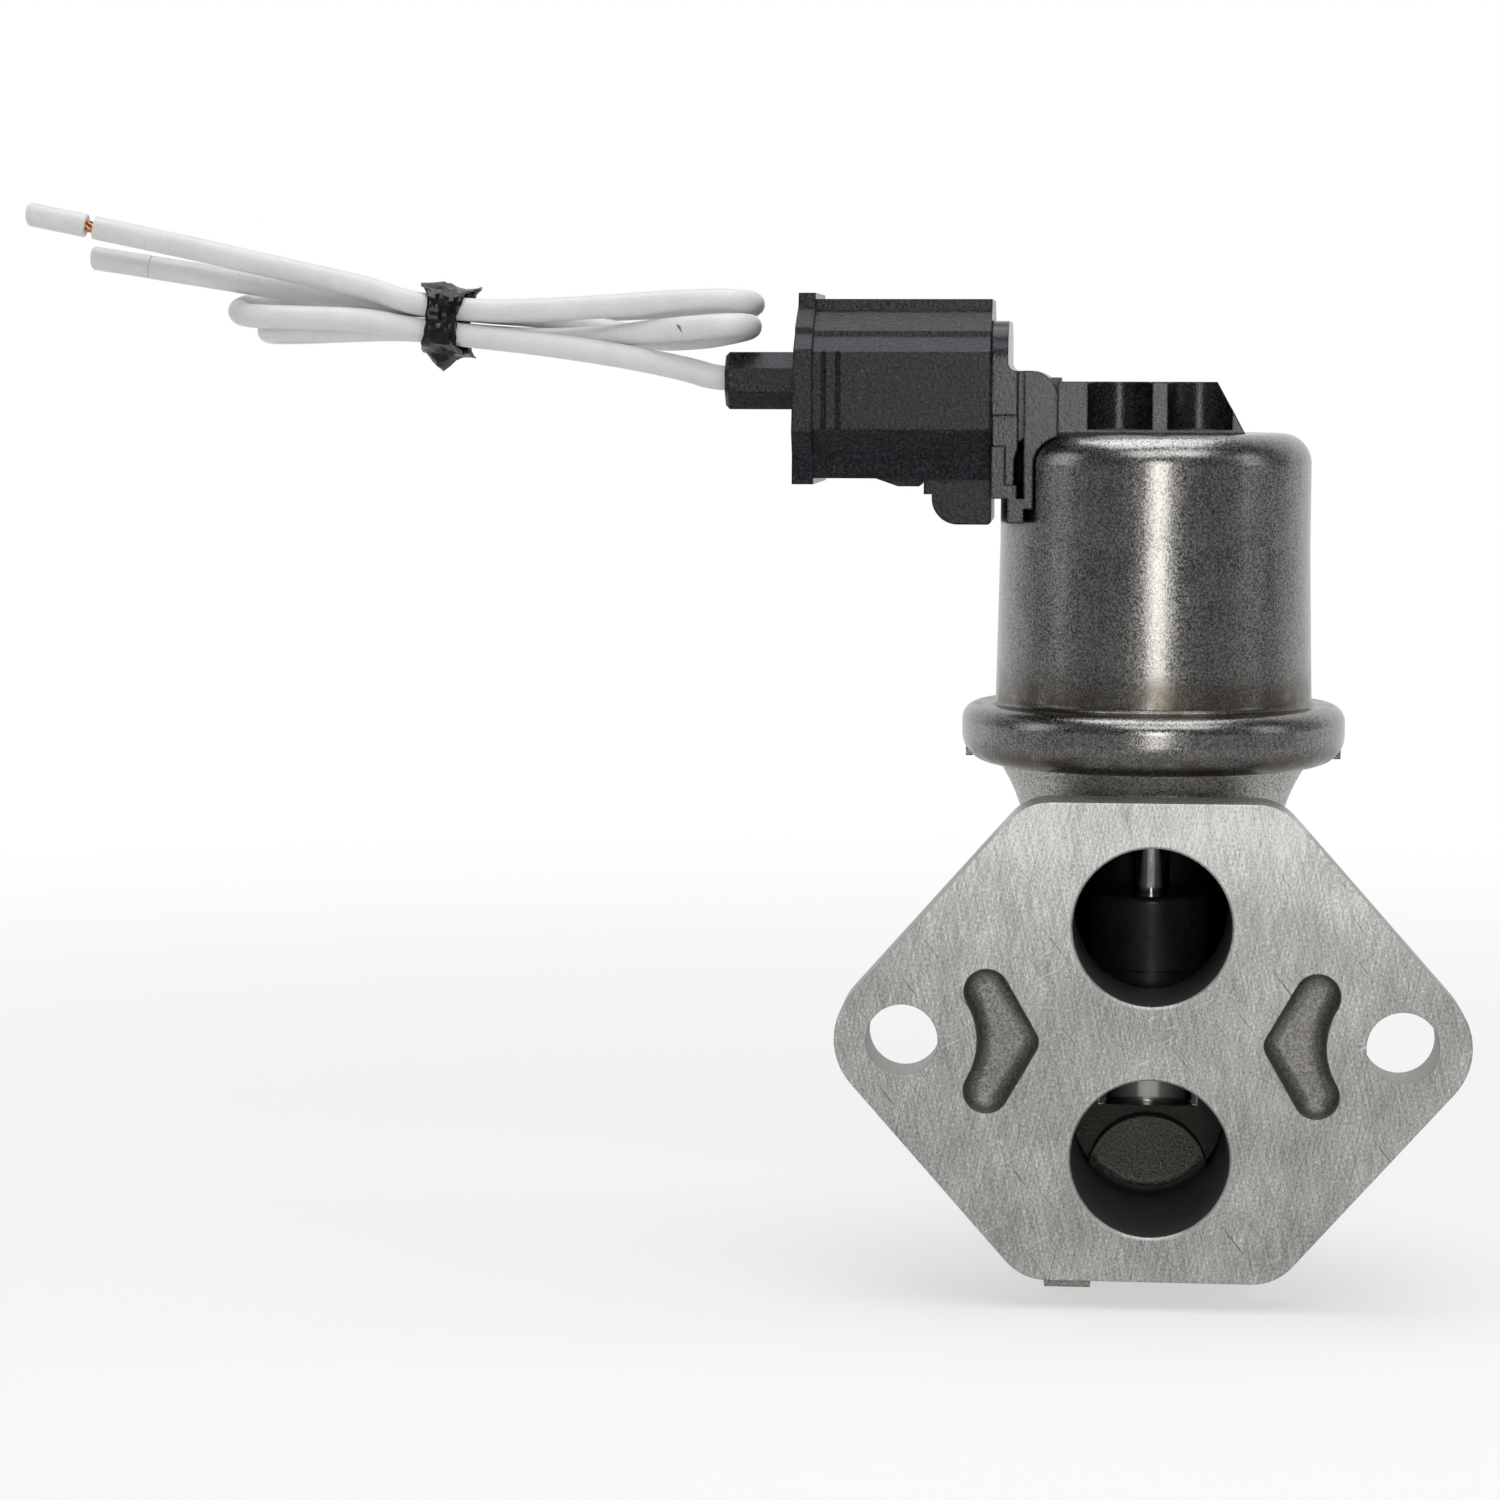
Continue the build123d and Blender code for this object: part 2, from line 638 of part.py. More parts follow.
with BuildPart() as cover_moulding:
    with BuildSketch(half_section):
        with BuildLine():
            Polyline(
                (-cover_left, can_top),
                (cover_right, can_top),
                (cover_right - cover_slope, cover_top),
                (-cover_left, cover_top),
                close=True,
            )
        make_face()
    extrude(amount=cover_half_width, both=True)
    with BuildSketch(level(can_top + flute_floor)):
        for centre in flute_centres:
            with Locations((centre, -cover_half_width), (centre, cover_half_width)):
                Circle(flute_radius)
    extrude(amount=cover_height, mode=Mode.SUBTRACT)
    with BuildSketch(half_section):
        with BuildLine():
            FilletPolyline(
                (socket_face, connector_z - socket_rim_bottom),
                (socket_face, connector_z + socket_rim_top),
                (rim_right, connector_z + socket_rim_top),
                (rim_right, connector_z + socket_plate_top),
                (-cover_left, connector_z + socket_plate_top),
                (-cover_left, cheek_z + cheek_step + cheek_toe),
                (-cover_left - cheek_toe, cheek_z + cheek_step),
                (groove_right, cheek_z + cheek_step),
                (groove_right, cheek_z),
                (rim_right, cheek_z),
                (rim_right, connector_z - socket_rim_bottom),
                radius=(0, 0, 0, socket_neck_round, socket_plate_round, 0, 0, 0, 0, 0, 0),
                close=True,
            )
        make_face()
    extrude(amount=socket_half_width, both=True)
    fillet(cover_moulding.edges().filter_by(Axis.X).group_by(Axis.Z)[-1], socket_rim_round)
    with Locations(
        ((groove_left + groove_right) / 2, axis_offset - socket_half_width, connector_z),
        ((groove_left + groove_right) / 2, axis_offset + socket_half_width, connector_z),
    ):
        Box(socket_groove_width, 2 * socket_groove_depth, 2 * socket_rim_bottom, mode=Mode.SUBTRACT)
    window_z = connector_z + (window_top + window_bottom) / 2
    with Locations(
        ((socket_face + groove_left) / 2, axis_offset - socket_half_width, window_z),
        ((socket_face + groove_left) / 2, axis_offset + socket_half_width, window_z),
    ):
        Box(socket_groove_left, 2 * window_depth, window_top - window_bottom, mode=Mode.SUBTRACT)
    notch_height = socket_rim_bottom - socket_notch_sill + window_bottom
    notch_z = connector_z + window_bottom - notch_height / 2
    with Locations(
        (groove_left - socket_notch_width / 2, axis_offset - socket_half_width, notch_z),
        (groove_left - socket_notch_width / 2, axis_offset + socket_half_width, notch_z),
    ):
        Box(socket_notch_width, 2 * window_depth, notch_height, mode=Mode.SUBTRACT)
    with BuildSketch(half_section):
        with BuildLine():
            envelope = can_radius + 2 * seat_clearance
            FilletPolyline(
                (0, cheek_z - cheek_toe),
                (envelope, cheek_z - cheek_toe),
                (envelope, can_top),
                (0, can_top),
                radius=(0, 0, can_edge_radius, 0),
                close=True,
            )
        make_face()
    revolve(axis=solenoid_axis, mode=Mode.SUBTRACT)
    with BuildSketch(level(can_ceiling)):
        Circle(can_mouth_radius - cover_foot_clearance)
        with Locations((-(can_slot_reach - cover_foot_clearance) / 2, 0)):
            Rectangle(can_slot_reach - cover_foot_clearance, can_slot_width - 2 * cover_foot_clearance)
    extrude(amount=can_wall)
    with BuildSketch(across(shroud_tip)):
        RectangleRounded(2 * shroud_half_width, 2 * shroud_half_height, shroud_corner)
    extrude(amount=socket_face - shroud_tip)
    with BuildSketch(across(shroud_tip)):
        RectangleRounded(
            2 * (shroud_half_width - shroud_wall),
            2 * (shroud_half_height - shroud_wall),
            shroud_corner - shroud_wall,
        )
    extrude(amount=bulkhead_face - shroud_tip, mode=Mode.SUBTRACT)
    with BuildSketch(half_section):
        nib_right = plug_mouth - ear_window_inset - plug_clearance
        nib_root = connector_z - shroud_half_height
        with BuildLine():
            Polyline(
                (nib_right, nib_root),
                (nib_right, nib_root - nib_height),
                (nib_right - nib_length, nib_root),
                close=True,
            )
        make_face()
    extrude(amount=nib_width / 2, both=True)
    for y in terminal_y:
        with BuildSketch(Plane.XZ.offset(-y)):
            with BuildLine():
                Polyline(*blade_path)
            trace(line_width=blade_thickness + 2 * press_clearance)
        extrude(amount=blade_width / 2 + press_clearance, both=True, mode=Mode.SUBTRACT)
finish(cover_moulding.part, "cover_moulding")

# Two bent blades that carry the coil's ends through the moulding into the socket
for number, y in enumerate(terminal_y, start=1):
    with BuildPart() as connector_blade:
        with BuildSketch(Plane.XZ.offset(-y)):
            with BuildLine():
                Polyline(*blade_path)
            trace(line_width=blade_thickness)
        extrude(amount=blade_width / 2, both=True)
    finish(connector_blade.part, f"connector_blade_{number}")

# Half outline of the plug, seen along its length, from its crown down to its keel
crown_bottom = plug_top - plug_crown_height
shelf_top = crown_bottom - plug_slope_height
plug_half_outline = (
    (0, plug_top),
    (plug_crown_half_width, plug_top),
    (plug_crown_half_width, crown_bottom),
    (plug_shelf_half_width, shelf_top),
    (plug_shelf_half_width, shelf_top - plug_shelf_height),
    (plug_half_width, plug_panel_top),
    (plug_half_width, -plug_panel_bottom),
    (plug_chin_half_width, -plug_panel_bottom - plug_chin_height),
    (plug_keel_half_width, -plug_bottom),
    (0, -plug_bottom),
)

# Plug housing: stepped shell with a rear lip, inner core, latch ramp, lock ear and wire towers
with BuildPart() as plug_housing:
    with BuildSketch(across(plug_rear - plug_lip_length)):
        with BuildLine():
            Polyline(*plug_half_outline)
            mirror(about=Plane.YZ)
        make_face()
    extrude(amount=plug_length + plug_lip_length)
    with BuildSketch(across(plug_rear - plug_lip_length)):
        with BuildLine():
            Polyline(*plug_half_outline)
            mirror(about=Plane.YZ)
        make_face()
        offset(amount=plug_lip, kind=Kind.INTERSECTION)
    extrude(amount=2 * plug_lip_length)
    with BuildSketch(half_section):
        keel = connector_z - plug_bottom
        ramp_start = plug_rear + ramp_offset
        with BuildLine():
            Polyline(
                (ramp_start, keel),
                (ramp_start + ramp_run, keel - ramp_rise),
                (ramp_start + ramp_length - ramp_rise, keel - ramp_rise),
                (ramp_start + ramp_length, keel),
                close=True,
            )
        make_face()
    extrude(amount=ramp_half_width, both=True)
    with BuildSketch(half_section):
        ear_left = plug_mouth - ear_length
        with BuildLine():
            FilletPolyline(
                (plug_mouth, keel),
                (plug_mouth, keel - ear_drop),
                (ear_left, keel - ear_drop),
                (ear_left, keel - ear_step_drop),
                (ear_left - ear_step_length, keel - ear_step_drop),
                (ear_left - ear_step_length, keel),
                radius=(0, ear_edge, ear_round, 0, 0, 0),
                close=True,
            )
        make_face()
    extrude(amount=ear_half_width, both=True)
    rear_face = Plane(
        origin=(plug_rear, axis_offset, connector_z),
        z_dir=(1, 0, -tan(radians(plug_rake))),
    )
    split(bisect_by=rear_face, keep=Keep.TOP)
    with BuildSketch(across(tower_end)):
        with Locations((-terminal_pitch / 2, terminal_rise), (terminal_pitch / 2, terminal_rise)):
            RegularPolygon(tower_flats / 2, tower_sides, major_radius=False, rotation=180 / tower_sides)
    extrude(amount=tower_length + plug_lip_length)
    tower_rims = plug_housing.faces().filter_by(Axis.X).group_by(Axis.X)[0].edges()
    chamfer(tower_rims, tower_edge)
    with BuildSketch(across(cavity_end)):
        RectangleRounded(
            2 * (shroud_half_width + plug_clearance),
            2 * (shroud_half_height + plug_clearance),
            shroud_corner + plug_clearance,
        )
        RectangleRounded(
            2 * plug_core_half_width,
            2 * plug_core_half_height,
            plug_core_corner,
            mode=Mode.SUBTRACT,
        )
    extrude(amount=plug_mouth - cavity_end, mode=Mode.SUBTRACT)
    with BuildSketch(across(core_tip)):
        Rectangle(2 * plug_core_half_width, 2 * plug_core_half_height)
    extrude(amount=plug_mouth - core_tip, mode=Mode.SUBTRACT)
    with BuildSketch(across(plug_rear + terminal_inset)):
        with Locations((-terminal_pitch / 2, terminal_rise), (terminal_pitch / 2, terminal_rise)):
            Rectangle(
                terminal_width + 2 * terminal_clearance,
                terminal_height + 2 * terminal_clearance,
            )
    extrude(amount=core_tip - plug_rear - terminal_inset, mode=Mode.SUBTRACT)
    with BuildSketch(across(tower_end)):
        with Locations((-terminal_pitch / 2, terminal_rise), (terminal_pitch / 2, terminal_rise)):
            Circle(wire_seal_radius)
    extrude(amount=tower_length + terminal_inset, mode=Mode.SUBTRACT)
    ear_window_height = 2 * ear_drop + shroud_half_height
    with Locations((plug_mouth - ear_window_inset - ear_window_length / 2, axis_offset, keel)):
        Box(ear_window_length, 2 * ear_window_half_width, ear_window_height, mode=Mode.SUBTRACT)
    for line in panel_line_offsets:
        for side in (-plug_half_width, plug_half_width):
            panel_z = connector_z + (plug_panel_top - plug_panel_bottom) / 2
            with Locations((plug_rear + line, axis_offset + side, panel_z)):
                Box(
                    panel_line_width,
                    2 * panel_line_depth,
                    plug_panel_top + plug_panel_bottom,
                    mode=Mode.SUBTRACT,
                )
finish(plug_housing.part, "plug_housing")

# Lip seal on the plug's core, squeezed by the shroud
with BuildPart() as plug_seal:
    with BuildSketch(across(shroud_tip + plug_clearance)):
        RectangleRounded(
            2 * (shroud_half_width - shroud_wall - press_clearance),
            2 * (shroud_half_height - shroud_wall - press_clearance),
            shroud_corner - shroud_wall,
        )
        RectangleRounded(
            2 * (plug_core_half_width + press_clearance),
            2 * (plug_core_half_height + press_clearance),
            plug_core_corner,
            mode=Mode.SUBTRACT,
        )
    extrude(amount=plug_seal_length)
finish(plug_seal.part, "plug_seal")

# Box terminals in the core and rubber seals in the towers, one of each for a wire
terminal_rear = plug_rear + terminal_inset
for number, y in enumerate((-terminal_pitch / 2, terminal_pitch / 2), start=1):
    with BuildPart() as plug_terminal:
        with BuildSketch(across(terminal_rear)):
            with Locations((y, terminal_rise)):
                Rectangle(terminal_width, terminal_height)
        extrude(amount=core_tip - terminal_rear - terminal_clearance)
        with BuildSketch(across(core_tip)):
            with Locations((y, terminal_rise)):
                Rectangle(
                    blade_width + 2 * terminal_clearance,
                    blade_thickness + 2 * terminal_clearance,
                )
        extrude(amount=-(core_tip - blade_tip + terminal_clearance), mode=Mode.SUBTRACT)
    finish(plug_terminal.part, f"plug_terminal_{number}")
    with BuildPart() as wire_seal:
        with BuildSketch(across(tower_end + tower_edge)):
            with Locations((y, terminal_rise)):
                Circle(wire_seal_radius - press_clearance)
                Circle(wire_radius + running_clearance, mode=Mode.SUBTRACT)
        extrude(amount=wire_seal_length)
    finish(wire_seal.part, f"wire_seal_{number}")

# Routes of the two wires as offsets from the tower ends: out of their terminals, through the
# tied hank, where the six strands lie in two rows of three, and on to their free ends


def in_tie(column, row, end):
    """Offset of one strand at the right (1) or left (-1) end of the tie."""
    rise = tie_rise + row * strand_pitch / 2 - end * tie_lean
    return (-tie_reach + end * tie_run, column * strand_pitch, rise)


wire_routes = {
    "wire_1": [
        (terminal_rear - tower_end, -terminal_pitch / 2, 0),
        (-wire_straight, -terminal_pitch / 2, 0),
        (-3.9, -3.7, 1.1),
        (-10.3, -3.7, 2.4),
        (-17.4, -3.2, 3.5),
        in_tie(-1, -1, 1),
        in_tie(-1, -1, -1),
        (-36.1, -3.3, 6.0),
        (-42.2, -4.4, 6.2),
        (-46.8, -4.2, 6.3),
        (-49.8, -1.8, 6.5),
        (-50.8, 1.6, 7.2),
        (-48.9, 3.9, 7.8),
        (-43.9, 4.0, 7.9),
        (-38.0, 3.2, 7.7),
        in_tie(1, 1, -1),
        in_tie(1, 1, 1),
        (-20.0, 3.7, 6.7),
        (-11.7, 3.9, 7.3),
        (-4.5, 3.5, 7.4),
        (-0.2, 2.6, 7.3),
        (2.2, 0.8, 7.5),
        (2.5, -2.2, 7.8),
        (0.2, -4.0, 8.0),
        (-4.7, -3.9, 7.9),
        (-11.9, -3.3, 7.4),
        (-18.5, -2.9, 7.0),
        in_tie(-1, 1, 1),
        in_tie(-1, 1, -1),
        (-36.4, -2.5, 9.2),
        (-42.5, -2.5, 10.5),
        (-48.7, -2.4, 11.9),
        (-56.4, -2.4, 13.6),
        (-64.7, -2.3, 15.3),
    ],
    "wire_2": [
        (terminal_rear - tower_end, terminal_pitch / 2, 0),
        (-wire_straight, terminal_pitch / 2, 0),
        (-4.5, 3.8, 1.2),
        (-11.2, 3.9, 2.4),
        (-18.4, 3.3, 3.5),
        in_tie(1, -1, 1),
        in_tie(1, -1, -1),
        (-37.6, 3.7, 5.1),
        (-42.8, 5.0, 4.9),
        (-46.1, 5.0, 4.8),
        (-47.9, 3.0, 4.8),
        (-47.3, -0.2, 5.0),
        (-44.7, -2.2, 5.1),
        (-41.2, -1.8, 5.1),
        (-36.6, -0.7, 5.2),
        in_tie(0, -1, -1),
        in_tie(0, -1, 1),
        (-18.9, -0.3, 4.0),
        (-12.1, -1.3, 4.3),
        (-6.7, -4.0, 5.0),
        (-2.8, -6.0, 5.3),
        (0.4, -6.6, 5.5),
        (2.3, -5.0, 5.5),
        (2.3, -2.3, 5.3),
        (0.1, -0.5, 4.8),
        (-2.8, 0.2, 4.3),
        (-7.8, 1.1, 4.1),
        (-13.5, 1.7, 5.1),
        (-19.0, 0.9, 6.5),
        in_tie(0, 1, 1),
        in_tie(0, 1, -1),
        (-36.9, 0.4, 7.9),
        (-43.2, 0.5, 8.8),
        (-49.4, 0.6, 9.8),
        (-59.6, 0.6, 11.4),
    ],
}
tower_origin = Vector(tower_end, axis_offset, terminal_z)


def bend_radii(points):
    """Largest radius that each corner's two runs leave room for."""
    radii = []
    for before, corner, after in zip(points, points[1:], points[2:]):
        run_in = Vector(corner) - Vector(before)
        run_out = Vector(after) - Vector(corner)
        half_turn = radians(run_in.get_angle(run_out)) / 2
        radii.append(bend_share * min(run_in.length, run_out.length) / tan(half_turn))
    return radii


wire_ends = {}
for name, offsets in wire_routes.items():
    points = [tower_origin + Vector(place) for place in offsets]
    radii = bend_radii(points)
    with BuildPart() as wire:
        with BuildLine() as route:
            FilletPolyline(*points, radius=radii)
        path = route.wire()
        with BuildSketch(Plane(origin=path @ 0, z_dir=path % 0)):
            Circle(wire_radius)
        sweep(path=path)
    finish(wire.part, name)
    wire_ends[name] = (points[-1], (points[-1] - points[-2]).normalized())
    print(name, "length", round(path.length, 1), "radii", [round(radius, 1) for radius in radii])
    ideal_volume = pi * wire_radius**2 * path.length
    print("volume", round(wire.part.volume, 1), "section by length", round(ideal_volume, 1))

# Free ends: the first slug is pulled off its wire by a short bare gap, the second is only cut
end_1, run_1 = wire_ends["wire_1"]
end_2, run_2 = wire_ends["wire_2"]
for name, start, run, length, diameter in (
    ("wire_1_strands", end_1, run_1, slug_gap, strand_diameter),
    ("wire_1_slug", end_1 + run_1 * slug_gap, run_1, slug_length, wire_diameter),
    ("wire_2_slug", end_2, run_2, slug_length, wire_diameter),
):
    with BuildPart() as wire_end:
        with BuildSketch(Plane(origin=start, z_dir=run)):
            Circle(diameter / 2)
        extrude(amount=length)
    finish(wire_end.part, name)

# Tie round the six strands of the hank, waisted in the middle
tie_centre = tower_origin + Vector(-tie_reach, 0, tie_rise)
tie_plane = Plane(origin=tie_centre, x_dir=(0, 1, 0), z_dir=(tie_run, 0, -tie_lean))
tie_corner = wire_radius + tie_clearance
tie_width = 2 * (strand_pitch + tie_corner)
tie_height = strand_pitch + 2 * tie_corner
with BuildPart() as twist_tie:
    for end in (-tie_length / 2, tie_length / 2):
        for place, wall in ((0, tie_wall), (end, tie_wall + tie_waist)):
            with BuildSketch(tie_plane.offset(place)):
                RectangleRounded(tie_width + 2 * wall, tie_height + 2 * wall, tie_corner + wall)
        loft()
    with BuildSketch(tie_plane.offset(-tie_length / 2)):
        RectangleRounded(tie_width, tie_height, tie_corner)
    extrude(amount=tie_length, mode=Mode.SUBTRACT)
finish(twist_tie.part, "twist_tie")
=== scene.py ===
"""Idle air control valve: wire hank, spring, finishes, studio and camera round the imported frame."""

import logging
import math
from dataclasses import dataclass
from enum import Enum
from typing import Optional, Sequence, Union

import bmesh
import bpy
from bpy.types import Curve, Material, Mesh, Object
from mathutils import Euler, Matrix, Vector, noise


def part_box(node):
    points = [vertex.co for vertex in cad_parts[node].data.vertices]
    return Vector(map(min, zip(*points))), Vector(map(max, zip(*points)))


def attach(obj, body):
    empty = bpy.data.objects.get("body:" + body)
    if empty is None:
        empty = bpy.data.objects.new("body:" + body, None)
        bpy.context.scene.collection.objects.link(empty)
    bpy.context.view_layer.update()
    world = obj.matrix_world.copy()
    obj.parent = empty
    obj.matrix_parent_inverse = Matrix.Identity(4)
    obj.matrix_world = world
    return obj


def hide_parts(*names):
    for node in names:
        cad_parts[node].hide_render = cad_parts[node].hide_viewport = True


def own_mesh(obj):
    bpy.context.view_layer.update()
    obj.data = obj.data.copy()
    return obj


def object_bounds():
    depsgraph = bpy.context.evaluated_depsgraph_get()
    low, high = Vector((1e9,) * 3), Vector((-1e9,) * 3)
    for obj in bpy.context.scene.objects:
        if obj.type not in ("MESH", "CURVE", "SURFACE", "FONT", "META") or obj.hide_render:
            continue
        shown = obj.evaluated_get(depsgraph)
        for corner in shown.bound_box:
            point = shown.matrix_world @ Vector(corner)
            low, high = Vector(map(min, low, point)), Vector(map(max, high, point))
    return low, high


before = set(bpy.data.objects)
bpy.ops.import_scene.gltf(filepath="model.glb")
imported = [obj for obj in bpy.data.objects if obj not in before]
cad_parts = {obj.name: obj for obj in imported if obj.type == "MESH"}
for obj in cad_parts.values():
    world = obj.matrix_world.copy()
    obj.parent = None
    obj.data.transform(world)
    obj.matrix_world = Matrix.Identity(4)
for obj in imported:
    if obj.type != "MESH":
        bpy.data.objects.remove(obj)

CAD_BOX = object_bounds()
MM = 0.001
FIXED_BODY = "valve"

Colour = tuple[float, float, float]
Tones = tuple[Colour, Colour]
Point = tuple[float, float, float]
Span = tuple[float, float]
Number = Union["Field", float]

log = logging.getLogger("scene")


class Slot(Enum):
    """Names of material slots."""

    INSULATION = "white_insulation"
    COPPER = "copper"
    FILM = "tie_film"
    SPRING = "bright_steel"


class Field:
    """A node's output, with which shader maths is written as plain expressions."""

    def __init__(self, graph: "Graph", socket: bpy.types.NodeSocket) -> None:
        """Keeps the tree and the socket that the value comes from."""
        self.graph = graph
        self.socket = socket

    def __add__(self, other: Number) -> "Field":
        """Sum of two values."""
        return self.graph.maths("ADD", self, other)

    __radd__ = __add__

    def __sub__(self, other: Number) -> "Field":
        """This value less the other."""
        return self.graph.maths("SUBTRACT", self, other)

    def __rsub__(self, other: Number) -> "Field":
        """The other value less this one."""
        return self.graph.maths("SUBTRACT", other, self)

    def __mul__(self, other: Number) -> "Field":
        """Product of two values."""
        return self.graph.maths("MULTIPLY", self, other)

    __rmul__ = __mul__

    def __pow__(self, other: Number) -> "Field":
        """This value to a power."""
        return self.graph.maths("POWER", self, other)

    def __abs__(self) -> "Field":
        """Size of the value without its sign."""
        return self.graph.maths("ABSOLUTE", self)

    def over(self, other: Number) -> "Field":
        """The larger of two values."""
        return self.graph.maths("MAXIMUM", self, other)

    def fade(self, start: float, end: float) -> "Field":
        """Smooth mask that is 0 at start and 1 at end, which may be the smaller."""
        sockets = {"Value": self, "From Min": start, "From Max": end}
        return self.graph.add("MapRange", {"interpolation_type": "SMOOTHSTEP"}, sockets)

    def fade_mm(self, start: float, end: float, offset: float = 0.0) -> "Field":
        """The same mask between lengths in mm, both moved by an offset."""
        return self.fade((offset + start) * MM, (offset + end) * MM)


@dataclass(frozen=True)
class Grain:
    """Noise whose grains have a size in mm along each axis, turned about Y in degrees."""

    size: Point
    detail: float = 2.0
    roughness: float = 0.5
    turn: float = 0.0


def even(size: float) -> Point:
    """The same size along each axis."""
    return (size, size, size)


class Graph:
    """Node tree of one finish, or of the world."""

    def __init__(self, tree: bpy.types.NodeTree, place: str = "Object") -> None:
        """Takes a tree over, empties it and adds the place that its textures use.

        Args:
            tree: The tree.
            place: The place's name among texture coordinates.
        """
        self.tree = tree
        tree.nodes.clear()
        self.here = self.add("TexCoord", output=place)

    def add(
        self, kind: str, settings: Optional[dict] = None, sockets: Optional[dict] = None,
        output: Union[int, str] = 0,
    ) -> Field:
        """Adds one node of any type.

        Args:
            kind: The node's type, without its ShaderNode prefix.
            settings: Properties, set first; stops are a ramp's places and colours.
            sockets: Values or links by input name or number.
            output: The wanted output, by name or number.

        Returns:
            The wanted output.
        """
        node = self.tree.nodes.new("ShaderNode" + kind)
        for key, value in (settings or {}).items():
            if key != "stops":
                setattr(node, key, value)
                continue
            while len(node.color_ramp.elements) < len(value):
                node.color_ramp.elements.new(1.0)
            for element, (place, colour) in zip(node.color_ramp.elements, value):
                element.position = place
                element.color = (*colour, 1.0)
        for key, value in (sockets or {}).items():
            self.feed(node.inputs[key], value)
        return Field(self, node.outputs[output] if node.outputs else node.inputs[0])

    def feed(self, socket: bpy.types.NodeSocket, value: object) -> None:
        """Links a field to a socket, or sets the socket's own value.

        Args:
            socket: The input to feed.
            value: A field, a number, or a colour or vector.
        """
        if isinstance(value, Field):
            self.tree.links.new(value.socket, socket)
        elif socket.type == "RGBA":
            socket.default_value = (*value, 1.0)
        else:
            socket.default_value = value

    def maths(self, operation: str, *values: Number) -> Field:
        """One Math node on values, fields among them."""
        return self.add("Math", {"operation": operation}, dict(enumerate(values)))

    def axes(self) -> tuple[Field, Field, Field]:
        """The place's three parts, in metres on an object."""
        split = self.add("SeparateXYZ", sockets={0: self.here}).socket.node
        return tuple(Field(self, socket) for socket in split.outputs)

    def grid(self, size: Point, turn: float = 0.0) -> Field:
        """The place, scaled so that a unit has a size in mm, and turned about Y in degrees."""
        sockets = {"Scale": [part * MM for part in size], "Rotation": (0, math.radians(turn), 0)}
        return self.add("Mapping", {"vector_type": "TEXTURE"}, {"Vector": self.here, **sockets})

    def grain(self, grain: Grain) -> Field:
        """Noise of a grain, about 0 to 1."""
        sockets = {"Scale": 1.0, "Detail": grain.detail, "Roughness": grain.roughness}
        return self.add("TexNoise", None, {"Vector": self.grid(grain.size, grain.turn), **sockets})

    def pits(self, spacing: float) -> Field:
        """Distance to points scattered at a spacing in mm, counted in spacings."""
        sockets = {"Vector": self.grid(even(spacing)), "Scale": 1.0}
        return self.add("TexVoronoi", None, sockets)

    def blend(self, mask: Field, low: Union[Field, Colour], high: Union[Field, Colour]) -> Field:
        """Colour that goes from low to high as the mask does from 0 to 1."""
        sockets = {"Factor": mask, 6: low, 7: high}
        return self.add("Mix", {"data_type": "RGBA"}, sockets, 2)

    def soft_edge(self, radius: float) -> Field:
        """Normal with edges rounded to a radius in mm."""
        return self.add("Bevel", {"samples": 6}, {"Radius": radius * MM})

    def bump(self, height: Field, depth: float, under: Optional[Field] = None) -> Field:
        """Normal of a surface with relief.

        Args:
            height: The relief, from 0 to 1.
            depth: What 1 stands for, in mm.
            under: Normal below the relief.

        Returns:
            The normal.
        """
        sockets = {"Distance": depth * MM, "Height": height}
        if under is not None:
            sockets["Normal"] = under
        return self.add("Bump", None, sockets)


def new_graph(name: str) -> tuple[Material, Graph]:
    """Starts a material.

    Args:
        name: The finish's name.

    Returns:
        The material and its empty graph.
    """
    material = bpy.data.materials.new(name)
    material.use_nodes = True
    return material, Graph(material.node_tree)


@dataclass(frozen=True)
class Finish:
    """A surface's look, from which its material is built."""

    name: str

    def paint(self, graph: Graph) -> dict:
        """Sockets of the surface, which each kind of finish works out."""
        raise NotImplementedError

    def material(self) -> Material:
        """Builds the material.

        Returns:
            The material.
        """
        material, graph = new_graph(self.name)
        shader = graph.add("BsdfPrincipled", None, self.paint(graph))
        graph.add("OutputMaterial", None, {"Surface": shader})
        return material


